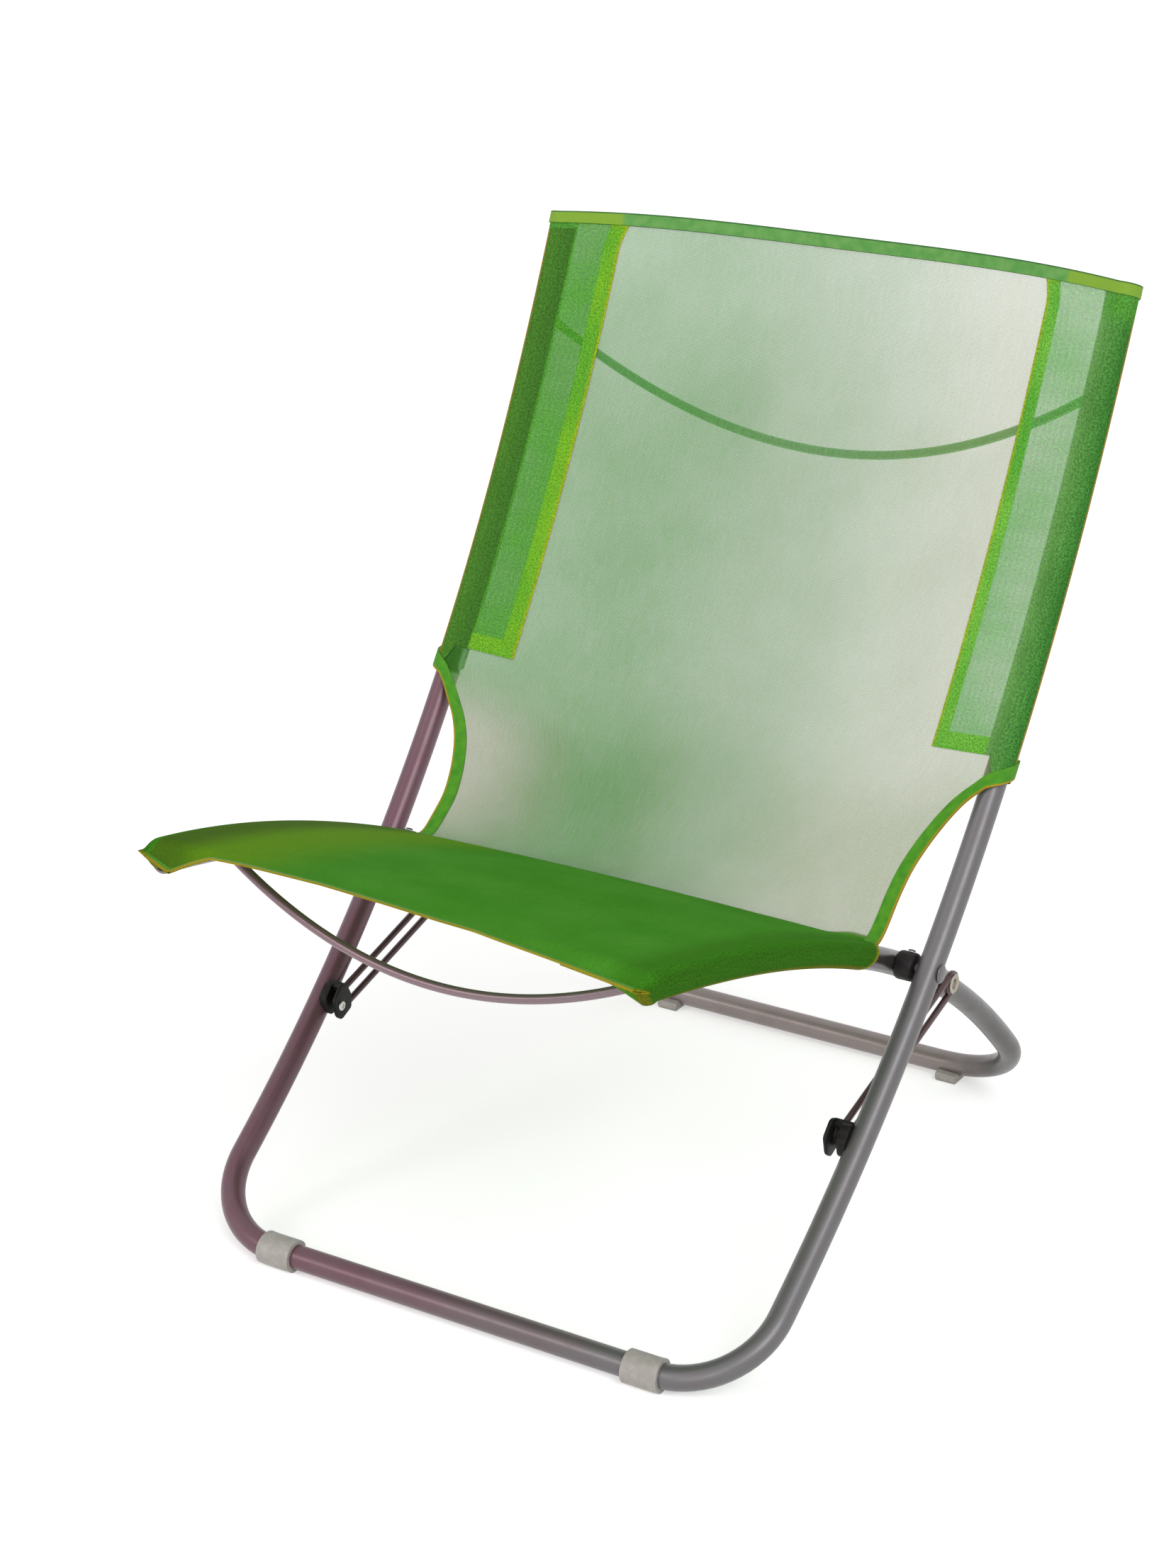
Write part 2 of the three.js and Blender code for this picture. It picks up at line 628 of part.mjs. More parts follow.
// A sheet of cloth from rows of points on its middle surface.
function clothSheet(rows) {
  const [last, width] = [rows.length - 1, rows[0].length];
  const positions = [];
  for (const face of [1, -1]) {
    rows.forEach((row, i) =>
      row.forEach((p, j) => {
        const along = rows[Math.min(i + 1, last)][j].clone().sub(rows[Math.max(i - 1, 0)][j]);
        const across = row[Math.min(j + 1, width - 1)].clone().sub(row[Math.max(j - 1, 0)]);
        const out = along.cross(across).normalize();
        positions.push(...p.clone().addScaledVector(out, (face * CLOTH_THICKNESS) / 2).toArray());
      }),
    );
  }
  const back = rows.length * width;
  const index = [];
  const quad = (a, b, c, d) => index.push(a, b, c, a, c, d);
  for (let i = 0; i < last; i += 1) {
    for (let j = 0; j < width - 1; j += 1) {
      const k = i * width + j;
      quad(k, k + 1, k + width + 1, k + width);
      quad(back + k, back + k + width, back + k + width + 1, back + k + 1);
    }
  }
  for (let j = 0; j < width - 1; j += 1) {
    const k = last * width + j;
    quad(j, back + j, back + j + 1, j + 1);
    quad(k, k + 1, back + k + 1, back + k);
  }
  for (let i = 0; i < last; i += 1) {
    const k = i * width;
    const m = k + width - 1;
    quad(k, k + width, back + k + width, back + k);
    quad(m, back + m, back + m + width, m + width);
  }
  const geometry = new THREE.BufferGeometry();
  geometry.setAttribute('position', new THREE.Float32BufferAttribute(positions, 3));
  geometry.setIndex(index);
  return closed(geometry);
}

// One row of cloth across the chair: straight between its two edges, sagging to the far side or crowned.
function clothRow(edge, away, sag) {
  return Array.from({ length: CLOTH_COLUMNS + 1 }, (_, j) => {
    const across = (2 * j) / CLOTH_COLUMNS - 1;
    const drop = sag * (1 - across ** 2);
    return point(edge.x * across, edge.y + away.y * drop, edge.z + away.z * drop);
  });
}

// The cloth lies on the sitter's side of both frames; away points from the sitter through the cloth.
function clothEdge(frame, station) {
  const heading = frame.heading(station);
  const away = point(0, heading.z, -heading.y);
  if (away.z > 0) {
    away.negate();
  }
  return { edge: frame.onRail(station).addScaledVector(away, -CLOTH_OFFSET), away };
}

const lerp = THREE.MathUtils.lerp;
const backSleeveEnd = mainFrame.length - BACK_SLEEVE_LENGTH;
const seatSleeveEnd = crossing.onSeat + SEAT_SLEEVE_START;

function panelRows(frame, from, to, sagFrom, sagTo) {
  return Array.from({ length: CLOTH_ROWS + 1 }, (_, i) => {
    const share = i / CLOTH_ROWS;
    const { edge, away } = clothEdge(frame, lerp(from, to, share));
    return clothRow(edge, away, lerp(sagFrom, sagTo, share));
  });
}

function sleeves(frame, from, to) {
  const section = ring(SLEEVE_RADIUS, SLEEVE_RADIUS - CLOTH_THICKNESS, FITTED_SIDES);
  const right = sweep(section, frame.railStations(from, to, SLEEVE_STEPS));
  return [right, mirrored(right)];
}

// Back and seat panels, each sewn to a sleeve on either side, with holes where the rods pass through
const rodSpace = (stations) => sweep(disc(ROD_DIAMETER / 2 + FIT_GAP, WIRE_SIDES), stations);
const backRows = panelRows(mainFrame, mainFrame.length, backSleeveEnd, BACK_SAG, WAIST_SAG);
backRows[0].forEach((p, j) => {
  const across = Math.abs((2 * j) / CLOTH_COLUMNS - 1);
  p.addScaledVector(mainFrame.heading(mainFrame.length), BACK_TOP_ARCH * (1 - across ** 3));
});
const backPanel = clothSheet(backRows);
const backSling = join(backPanel, ...sleeves(mainFrame, backSleeveEnd, mainFrame.length));
add('back_sling', cut(backSling, rodSpace(backRodLine)), greenMesh);
const seatPanel = clothSheet(panelRows(seatFrame, seatSleeveEnd, seatFrame.length, -SEAT_CROWN, -SEAT_CROWN));
const seatSling = join(seatPanel, ...sleeves(seatFrame, seatSleeveEnd, seatFrame.length));
add('seat_sling', cut(seatSling, rodSpace(frontRodLine)), greenMesh);

// The waist: cloth that runs from the back to the seat past the pivots, cut in at both edges
function waistRows() {
  const upper = clothEdge(mainFrame, backSleeveEnd);
  const lower = clothEdge(seatFrame, seatSleeveEnd);
  const start = upper.edge.clone().addScaledVector(mainFrame.heading(backSleeveEnd), -CLOTH_SEAM_GAP);
  const end = lower.edge.clone().addScaledVector(seatFrame.heading(seatSleeveEnd), -CLOTH_SEAM_GAP);
  end.x -= WAIST_INSET;
  const upperPull = start.clone().lerp(end, CUTOUT_UPPER_SHARE);
  const lowerPull = start.clone().lerp(end, CUTOUT_LOWER_SHARE);
  upperPull.x = end.x - CUTOUT_DEPTH;
  lowerPull.x = end.x - CUTOUT_DEPTH;
  const curve = new THREE.CubicBezierCurve3(start, upperPull, lowerPull, end);
  return Array.from({ length: CLOTH_ROWS + 1 }, (_, i) => {
    const share = i / CLOTH_ROWS;
    const away = upper.away.clone().lerp(lower.away, share).normalize();
    return clothRow(curve.getPoint(share), away, lerp(WAIST_SAG, -SEAT_CROWN, share));
  });
}
add('waist_sling', clothSheet(waistRows()), greenMesh);

// Stand the chair with the middle of its footprint at the origin
const box = new THREE.Box3().setFromObject(chair);
chair.position.y = -(box.min.y + box.max.y) / 2;

export default chair;
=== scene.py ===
"""A low folding beach chair: two bent tube frames that cross, small fittings, and a sheer mesh sling.

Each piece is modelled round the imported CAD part, in metres, +Z up, with the front of the chair towards -Y.
Left and right are as seen from the front.
"""

import json
import math

import bpy
import numpy as np
from mathutils import Matrix, Vector


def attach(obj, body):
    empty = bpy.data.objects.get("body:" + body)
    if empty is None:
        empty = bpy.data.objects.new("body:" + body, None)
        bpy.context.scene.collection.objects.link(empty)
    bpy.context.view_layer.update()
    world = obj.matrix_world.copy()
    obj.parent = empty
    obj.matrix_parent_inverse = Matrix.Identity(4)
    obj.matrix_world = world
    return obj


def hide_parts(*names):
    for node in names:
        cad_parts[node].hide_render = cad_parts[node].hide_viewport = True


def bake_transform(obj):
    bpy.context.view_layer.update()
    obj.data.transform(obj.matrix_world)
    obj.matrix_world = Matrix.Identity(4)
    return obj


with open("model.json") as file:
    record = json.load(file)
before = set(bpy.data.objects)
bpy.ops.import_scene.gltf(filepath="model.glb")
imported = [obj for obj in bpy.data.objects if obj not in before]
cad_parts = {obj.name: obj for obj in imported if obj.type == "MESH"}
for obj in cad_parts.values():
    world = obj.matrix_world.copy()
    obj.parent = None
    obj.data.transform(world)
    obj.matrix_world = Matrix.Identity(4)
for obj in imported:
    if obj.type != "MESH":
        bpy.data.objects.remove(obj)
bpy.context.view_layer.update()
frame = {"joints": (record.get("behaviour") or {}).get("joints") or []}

# Main frame: one round steel tube bent to a U. Its bar lies across the front on two clips, and its rails
# lean back and bend slowly upright inside the sleeves of the back. Metallic paint with a soft gloss, with
# painted shade making it browner on the left and a painted reflection making it greyer on the right.
tube_radius = 0.010
bar_height = 0.0124
fold_joint = next(joint for joint in frame["joints"] if joint["name"] == "fold")
pivot = Vector(fold_joint["pos_m"])
front_bar_y = pivot.y - 0.28219
back_top = (front_bar_y + 0.581, 0.730)
rail_floor_angle = 31.65
rail_top_angle = 66.9
front_bend_radius = 0.074
rail_half_at_floor = 0.2474
rail_splay = 0.0186
rail_top_tuck = 0.004
back_sleeve_overrun = 0.016


class SideView:
    """One slow bend in the side view, measured by distance along it; its points are (y, z)."""

    def __init__(self, start, start_angle, end, end_angle):
        a, b = math.radians(start_angle), math.radians(end_angle)
        dy, dz = end[0] - start[0], end[1] - start[1]
        reach = (dy * math.sin(b) - dz * math.cos(b)) / math.sin(b - a)
        corner = (start[0] + reach * math.cos(a), start[1] + reach * math.sin(a))
        t = np.linspace(0, 1, 1201)[:, None]
        self.points = (1 - t) ** 2 * start + 2 * t * (1 - t) * np.array(corner) + t**2 * np.array(end)
        steps = np.linalg.norm(np.diff(self.points, axis=0), axis=1)
        self.along = np.concatenate([[0], np.cumsum(steps)])
        self.length = self.along[-1]

    def at(self, s):
        y, z = (np.interp(s, self.along, self.points[:, k]) for k in (0, 1))
        return np.stack([y, z], -1)

    def heading(self, s):
        step = 0.001
        middle = np.clip(s, step, self.length - step)
        run = self.at(middle + step) - self.at(middle - step)
        return run / np.linalg.norm(run, axis=-1, keepdims=True)

    def away(self, s):
        """The direction from the sitter through the cloth, square to the rail."""
        along = self.heading(s)
        turned = np.stack([along[..., 1], -along[..., 0]], -1)
        return np.where(turned[..., 1:] > 0, -turned, turned)


def bent_line(view, half_width, bend_radius, end):
    """The middle line of a tube bent to a U, from the left end to the right end."""
    bar_half = half_width(bend_radius) - bend_radius
    angles = np.linspace(0, math.pi / 2, 19)[:-1]
    stations = np.linspace(bend_radius, end, 70)
    along = np.concatenate([bend_radius * (1 - np.cos(angles)), stations])
    across = np.concatenate([bar_half + bend_radius * np.sin(angles), half_width(stations)])
    right = np.column_stack([across, view.at(along)])
    return np.concatenate([right[::-1] * (-1, 1, 1), right])


def line_object(name, line, cyclic=False):
    """A curve object that runs straight from point to point."""
    bpy.ops.object.select_all(action="DESELECT")
    bpy.ops.curve.primitive_nurbs_path_add()
    made = bpy.context.object
    made.name = name
    made.data.splines.clear()
    spline = made.data.splines.new("POLY")
    spline.points.add(len(line) - 1)
    for corner, place in zip(spline.points, line):
        corner.co = (*place, 1)
    spline.use_cyclic_u = cyclic
    return made


def to_mesh(made, angle=35):
    """Turn a curve object into a closed mesh with soft shading."""
    bpy.ops.object.convert(target="MESH")
    bpy.ops.object.mode_set(mode="EDIT")
    bpy.ops.mesh.select_all(action="SELECT")
    bpy.ops.mesh.remove_doubles(threshold=1e-6)
    bpy.ops.mesh.normals_make_consistent(inside=False)
    bpy.ops.object.mode_set(mode="OBJECT")
    bpy.ops.object.shade_smooth_by_angle(angle=math.radians(angle))
    return made


def bent_rod(name, line, radius, roundness=10):
    """A round bar bent along a line of points, with closed ends."""
    made = line_object(name, line)
    made.data.bevel_depth = radius
    made.data.bevel_resolution = roundness
    made.data.use_fill_caps = True
    return to_mesh(made)


def fit(made, body, material, slot, *nodes):
    """Give a piece its finish, let it ride on a body, and let it stand for CAD nodes."""
    made.data.materials.clear()
    made.data.materials.append(material)
    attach(made, body)
    if nodes:
        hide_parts(*nodes)
    return made


def new_material(name):
    """A material with its principled shader, and a way to add nodes to it."""
    material = bpy.data.materials.new(name)
    material.use_nodes = True
    tree = material.node_tree

    def node(kind, inputs=(), **settings):
        made = tree.nodes.new(kind)
        for key, value in settings.items():
            setattr(made, key, value)
        for key, value in dict(inputs).items():
            if isinstance(value, bpy.types.NodeSocket):
                tree.links.new(value, made.inputs[key])
            else:
                made.inputs[key].default_value = value
        return made

    def surface(**inputs):
        shader = tree.nodes["Principled BSDF"]
        for key, value in inputs.items():
            socket = shader.inputs[key.replace("_", " ")]
            if isinstance(value, bpy.types.NodeSocket):
                tree.links.new(value, socket)
            else:
                socket.default_value = value

    return material, node, surface


def noise(node, place, scale, detail=3.0, roughness=0.5):
    return node(
        "ShaderNodeTexNoise",
        {"Vector": place, "Scale": scale, "Detail": detail, "Roughness": roughness},
    ).outputs["Fac"]


def ramp(node, value, low, high, low_out, high_out):
    return node(
        "ShaderNodeMapRange",
        {"Value": value, "From Min": low, "From Max": high, "To Min": low_out, "To Max": high_out},
        interpolation_type="SMOOTHSTEP",
    ).outputs["Result"]


def blend_colours(node, share, first, second):
    mixed = node("ShaderNodeMix", {"Factor": share, "A": first, "B": second}, data_type="RGBA")
    return mixed.outputs["Result"]


def scaled(node, vector, scale):
    return node("ShaderNodeVectorMath", {0: vector, "Scale": scale}, operation="SCALE").outputs["Vector"]


def bumps(node, height, strength, distance):
    made = node("ShaderNodeBump", {"Height": height, "Strength": strength, "Distance": distance})
    return made.outputs["Normal"]


def painted_metal(name, reach, left_painted_light, right_painted_light, gloss):
    """Metallic paint: painted light and shade across the chair, fine flakes, orange peel and rubbed patches.
    """
    material, node, surface = new_material(name)
    place = node("ShaderNodeTexCoord").outputs["Object"]
    across = node("ShaderNodeSeparateXYZ", {"Vector": place}).outputs["X"]
    # Painted light and shade: the colour runs across the chair between the two end colours, plus random
    # mottle.
    painted_light_and_mottle = ramp(node, across, *reach, 0.0, 1.0)
    cloud = ramp(node, noise(node, place, 40, 4.0), 0.3, 0.7, -0.09, 0.09)
    painted_light_and_mottle = node("ShaderNodeMath", {0: painted_light_and_mottle, 1: cloud}, operation="ADD", use_clamp=True).outputs["Value"]
    shade = blend_colours(node, painted_light_and_mottle, (*left_painted_light, 1), (*right_painted_light, 1))
    sparkle = ramp(node, noise(node, place, 2600, 1.0), 0.3, 0.7, 0.94, 1.06)
    tinted = scaled(node, shade, sparkle)
    rubbed = ramp(node, noise(node, place, 70, 5.0, 0.6), 0.45, 0.75, gloss, gloss + 0.08)
    peel = bumps(node, noise(node, place, 700, 2.0), 0.03, 0.0004)
    surface(Base_Color=tinted, Metallic=0.35, Roughness=rubbed, Normal=peel)
    surface(Coat_Weight=0.3, Coat_Roughness=0.26)
    return material


def nearest(view, place):
    """The distance along a side view at which it passes a point."""
    gaps = np.linalg.norm(view.points - np.array([place.y, place.z]), axis=1)
    return view.along[gaps.argmin()]


main_view = SideView((front_bar_y, bar_height), rail_floor_angle, back_top, rail_top_angle)
main_tube_end = main_view.length - back_sleeve_overrun
pivot_on_main = nearest(main_view, pivot)


def rail_half(s):
    upward = np.maximum(0, s - pivot_on_main) / (main_view.length - pivot_on_main)
    return rail_half_at_floor + rail_splay * s - rail_top_tuck * upward**2


# Painted shade in the left colour, and a painted reflection of a bright light in the right colour.
frame_paint = painted_metal("frame_paint", (-0.16, 0.22), (0.138, 0.060, 0.082), (0.138, 0.132, 0.136), 0.40)
main_line = bent_line(main_view, rail_half, front_bend_radius, main_tube_end)
main_tube = bent_rod("main_tube", main_line, tube_radius)
fit(main_tube, "main_frame", frame_paint, "frame_paint", "main_frame_tube")

# Seat frame: the second bent tube. Its bar lies across the back, and its legs cross the main rails and
# flatten out into the sides of the seat, inside the main frame. The same paint, a little browner; it is
# painted light from the left across the rear bar, as a highlight, and dark at the right side, as shade.
rear_bar_y = front_bar_y + 0.581
seat_tip = (front_bar_y - 0.092, 0.370)
leg_floor_angle = 50
seat_tip_angle = 10
rear_bend_radius = 0.088
seat_half_width = 0.2185
seat_tip_taper = 0.010
seat_sleeve_overrun = 0.022

seat_view = SideView((rear_bar_y, bar_height), 180 - leg_floor_angle, seat_tip, 180 - seat_tip_angle)
seat_tube_end = seat_view.length - seat_sleeve_overrun
pivot_on_seat = nearest(seat_view, pivot)


def seat_half(s):
    forward = np.maximum(0, s - pivot_on_seat) / (seat_view.length - pivot_on_seat)
    return seat_half_width - seat_tip_taper * forward**2


seat_line = bent_line(seat_view, seat_half, rear_bend_radius, seat_tube_end)
seat_tube = bent_rod("seat_tube", seat_line, tube_radius)
# Painted highlight in the first colour, over the left and the rear bar; painted shade in the second, at the
# right.
brown_paint = painted_metal("brown_paint", (0.12, 0.21), (0.260, 0.215, 0.208), (0.045, 0.038, 0.038), 0.33)
fit(seat_tube, "seat_frame", brown_paint, "frame_paint", "seat_frame_tube")

# End plugs: black plastic caps pressed into the four open tube ends, inside the sleeves. Those of the seat
# are smaller, so that the slack cloth over its front corners clears them.
fit_gap = 0.0003
plug_profile = [
    (0, fit_gap),
    (0.010, fit_gap),
    (0.010, 0.0013),
    (0.0094, 0.0019),
    (0.007, 0.0023),
    (0, 0.0023),
]
seat_plug_width = 0.8
seat_plug_depth = 0.5
seat_plug_profile = [(seat_plug_width * radius, seat_plug_depth * along) for radius, along in plug_profile]


def turned(name, profile, place, axis, steps=40):
    """A turned piece: its profile of (radius, distance along the axis) spun round the axis."""
    made = line_object(name, [(radius, 0, along) for radius, along in profile])
    bpy.ops.object.convert(target="MESH")
    spin = made.modifiers.new("spin", "SCREW")
    spin.axis = "Z"
    spin.steps = spin.render_steps = steps
    spin.use_merge_vertices = True
    spin.merge_threshold = 1e-6
    bpy.ops.object.modifier_apply(modifier=spin.name)
    turn = Vector((0, 0, 1)).rotation_difference(Vector(axis))
    made.data.transform(Matrix.Translation(place) @ turn.to_matrix().to_4x4())
    return to_mesh(made)


def mirrored(made, name):
    """The same piece for the left side, with its own mesh."""
    copy = made.copy()
    copy.data = made.data.copy()
    copy.name = name
    bpy.context.scene.collection.objects.link(copy)
    copy.data.transform(Matrix.Diagonal((-1, 1, 1, 1)))
    copy.data.flip_normals()
    return copy


def fit_pair(made, name, bodies, material, slot):
    """A right piece and its mirror image, each for the CAD node of the same name."""
    left = mirrored(made, f"{name}_left_piece")
    made.name = f"{name}_right_piece"
    fit(made, bodies[0], material, slot, f"{name}_right")
    fit(left, bodies[-1], material, slot, f"{name}_left")


def moulded_plastic(name, dark, light, gloss, grain, shine):
    """Moulded plastic: a fine spark-eroded grain and faint scuffs."""
    material, node, surface = new_material(name)
    place = node("ShaderNodeTexCoord").outputs["Object"]
    scuff = ramp(node, noise(node, place, 140, 6.0, 0.7), 0.42, 0.68, 0.0, 1.0)
    shade = blend_colours(node, scuff, (*dark, 1), (*light, 1))
    worn = ramp(node, noise(node, place, 60, 4.0), 0.3, 0.7, gloss, gloss + 0.15)
    pitted = bumps(node, noise(node, place, 3200, 2.0), grain, 0.0002)
    surface(Base_Color=shade, Roughness=worn, Normal=pitted, Specular_IOR_Level=shine)
    return material


def rail_end(view, half_width, end):
    """The end point of a frame's right rail, and the direction it points."""
    tip, before = (Vector((half_width(s), *view.at(s))) for s in (end, end - 0.004))
    return tip, (tip - before).normalized()


black_plastic = moulded_plastic(
    "black_plastic", (0.006, 0.005, 0.005), (0.016, 0.014, 0.013), 0.42, 0.15, 0.2
)
rail_plug = turned("rail_plug", plug_profile, *rail_end(main_view, rail_half, main_tube_end))
fit_pair(rail_plug, "rail_end_plug", ["main_frame"], black_plastic, "black_plastic")
seat_plug = turned("seat_plug", seat_plug_profile, *rail_end(seat_view, seat_half, seat_tube_end))
fit_pair(seat_plug, "seat_end_plug", ["seat_frame"], black_plastic, "black_plastic")

# Front foot clips: rings of moulded warm grey plastic, snapped on the front bar through a slit at the back,
# and cut flat where they stand on the floor.
foot_radius = 0.0134
foot_wall = 0.003
front_foot_length = 0.030
front_foot_offset = 0.168
foot_edge = 0.0007
slit_middle = 23
slit_angle = 36


def apply_modifier(made, kind, **settings):
    bpy.context.view_layer.objects.active = made
    modifier = made.modifiers.new(kind.lower(), kind)
    for key, value in settings.items():
        setattr(modifier, key, value)
    bpy.ops.object.modifier_apply(modifier=modifier.name)


def soften_edges(made, width):
    """Round off the sharp edges of a piece."""
    sharp = math.radians(50)
    apply_modifier(made, "BEVEL", width=width, segments=2, limit_method="ANGLE", angle_limit=sharp)


def on_bar(view, half_width, bend_radius, distance):
    """A point on a floor bar or its right bend, by its distance from the middle of the bar."""
    bar_half = half_width(bend_radius) - bend_radius
    angle = max(0, distance - bar_half) / bend_radius
    across = min(distance, bar_half) + bend_radius * math.sin(angle)
    return (across, *view.at(bend_radius * (1 - math.cos(angle))))


def foot_clip(name, view, half_width, bend_radius, offset, length):
    """An open ring round a floor bar with a flat sole; its slit is placed in the side view, 0 to the rear."""
    stops = np.linspace(offset - length / 2, offset + length / 2, 9)
    line = np.array([on_bar(view, half_width, bend_radius, stop) for stop in stops])
    made = bent_rod(name, line, foot_radius, 18)
    bpy.ops.object.mode_set(mode="EDIT")
    bpy.ops.mesh.select_mode(type="FACE")
    bpy.ops.mesh.select_all(action="DESELECT")
    bpy.ops.object.mode_set(mode="OBJECT")
    for face in made.data.polygons:
        near = line[np.linalg.norm(line - face.center, axis=1).argmin()]
        out = np.array(face.center) - near
        turn = math.degrees(math.atan2(out[2], out[1]))
        from_slit = abs((turn - slit_middle + 180) % 360 - 180)
        face.select = len(face.vertices) > 4 or from_slit < slit_angle / 2
    bpy.ops.object.mode_set(mode="EDIT")
    bpy.ops.mesh.delete(type="FACE")
    bpy.ops.object.mode_set(mode="OBJECT")
    apply_modifier(made, "SOLIDIFY", thickness=foot_wall, offset=-1)
    bpy.ops.object.mode_set(mode="EDIT")
    bpy.ops.mesh.select_all(action="SELECT")
    bpy.ops.mesh.bisect(plane_co=(0, 0, 0), plane_no=(0, 0, 1), clear_inner=True, use_fill=True)
    bpy.ops.object.mode_set(mode="OBJECT")
    soften_edges(made, foot_edge)
    bpy.ops.object.shade_smooth_by_angle(angle=math.radians(35))
    return made


grey_plastic = moulded_plastic("grey_plastic", (0.36, 0.335, 0.31), (0.43, 0.405, 0.38), 0.42, 0.12, 0.4)
front_foot = foot_clip(
    "front_foot", main_view, rail_half, front_bend_radius, front_foot_offset, front_foot_length
)
fit_pair(front_foot, "front_foot", ["main_frame"], grey_plastic, "grey_plastic")

# Rear foot pads: the same plastic, clipped on the rear bar from below and behind. Each is a low flat pad with
# a lip in front of the bar.
rear_foot_length = 0.020
rear_foot_offset = 0.143
rear_foot_edge = 0.0014
tube_fit = 0.0002


def side_plate(name, outline, x0, x1, rounding):
    """A plate with rounded edges: its outline of (y, z) points, given a thickness from x0 to x1."""
    made = line_object(name, [(y, z, 0) for y, z in outline], cyclic=True)
    made.data.dimensions = "2D"
    made.data.fill_mode = "BOTH"
    made.data.extrude = (x1 - x0) / 2 - rounding
    made.data.bevel_depth = rounding
    made.data.bevel_resolution = 3
    made.data.offset = -rounding
    to_mesh(made, 50)
    stand = Matrix(((0, 0, 1, (x0 + x1) / 2), (1, 0, 0, 0), (0, 1, 0, 0), (0, 0, 0, 1)))
    made.data.transform(stand)
    return made


def combine(made, other, operation):
    """Cut another object out of a piece, or add it to the piece."""
    apply_modifier(made, "BOOLEAN", operation=operation, object=other, solver="EXACT")
    bpy.data.objects.remove(other)
    bpy.ops.object.select_all(action="DESELECT")
    made.select_set(True)
    bpy.ops.object.shade_smooth_by_angle(angle=math.radians(40))


def tube_room(line):
    """The room that a tube needs inside a piece that hugs it."""
    return bent_rod("tube_room", line, tube_radius + tube_fit, 10)


rear_middle, pad_y, pad_z = on_bar(seat_view, seat_half, rear_bend_radius, rear_foot_offset)
pad_outline = [
    (pad_y - 0.0075, pad_z - 0.0040),
    (pad_y - 0.0148, pad_z - 0.0050),
    (pad_y - 0.0160, 0.0035),
    (pad_y - 0.0140, 0),
    (pad_y + 0.0110, 0),
    (pad_y + 0.0134, 0.0045),
    (pad_y + 0.0134, pad_z + 0.0040),
    (pad_y + 0.0075, pad_z + 0.0040),
]
pad_sides = (rear_middle - rear_foot_length / 2, rear_middle + rear_foot_length / 2)
rear_foot = side_plate("rear_foot", pad_outline, *pad_sides, rear_foot_edge)
combine(rear_foot, tube_room(seat_line), "DIFFERENCE")
fit_pair(rear_foot, "rear_foot", ["seat_frame"], grey_plastic, "grey_plastic")

# Pivot saddles: black plastic blocks that hug the seat tube where the frames cross and hold the main rail
# off it. A small round-headed screw sits on top of each.
saddle_length = 0.0245
saddle_height = 0.023
saddle_hug = 0.009
saddle_edge = 0.0032
rail_inner = rail_half(pivot_on_main) - tube_radius
saddle_gap = 0.0007
saddle_screw_radius = 0.003
saddle_screw_height = 0.0016
saddle_screw_slot = 0.0008


def stadium(length, height, turn, middle, steps=14):
    """The outline of a bar with round ends, turned and placed in the side view."""
    end = height / 2
    angles = np.linspace(-math.pi / 2, math.pi / 2, steps)
    y = np.concatenate([length / 2 - end + end * np.cos(angles), end - length / 2 - end * np.cos(angles)])
    z = np.concatenate([end * np.sin(angles), -end * np.sin(angles)])
    return np.column_stack(
        [
            middle.y + y * math.cos(turn) - z * math.sin(turn),
            middle.z + y * math.sin(turn) + z * math.cos(turn),
        ]
    )


seat_along = seat_view.heading(pivot_on_seat)
seat_turn = math.atan2(seat_along[1], seat_along[0])
saddle_outline = stadium(saddle_length, saddle_height, seat_turn, pivot)
saddle_sides = (seat_half_width + saddle_hug, rail_inner - saddle_gap)
saddle = side_plate("saddle", saddle_outline, *saddle_sides, saddle_edge)
combine(saddle, tube_room(seat_line), "DIFFERENCE")
fit_pair(saddle, "pivot_saddle", ["seat_frame"], black_plastic, "black_plastic")


def plated_steel(name, tint, gloss):
    """Zinc-plated steel: a cloudy shine with fine turning marks and a few dull spots."""
    material, node, surface = new_material(name)
    place = node("ShaderNodeTexCoord").outputs["Object"]
    spots = ramp(node, noise(node, place, 420, 5.0, 0.65), 0.5, 0.72, 0.0, 1.0)
    shade = blend_colours(node, spots, (*tint, 1), (*(0.62 * c for c in tint), 1))
    dull = ramp(node, noise(node, place, 180, 3.0), 0.35, 0.7, gloss, gloss + 0.2)
    marks = bumps(node, noise(node, place, 2400, 2.0), 0.1, 0.0002)
    surface(Base_Color=shade, Metallic=0.6, Roughness=dull, Normal=marks)
    return material


def screw_head(name, radius, height, place, axis, slot_width):
    """A domed screw head with a cross recess."""
    steps = np.linspace(0, math.pi / 2, 7)
    dome = [(radius * math.cos(a), height * (0.45 + 0.55 * math.sin(a))) for a in steps]
    made = turned(name, [(0, 0), (radius, 0), *dome], place, axis)
    facing = Vector((0, 0, 1)).rotation_difference(Vector(axis)).to_matrix().to_4x4()
    raised = Matrix.Translation((0, 0, height))
    for turn in (0, math.pi / 2):
        bpy.ops.object.select_all(action="DESELECT")
        bpy.ops.mesh.primitive_cube_add(size=1)
        bar = bpy.context.object
        sized = Matrix.Diagonal((1.2 * radius, slot_width, height, 1))
        spun = Matrix.Rotation(turn, 4, "Z")
        bar.data.transform(Matrix.Translation(place) @ facing @ spun @ raised @ sized)
        combine(made, bar, "DIFFERENCE")
    return made


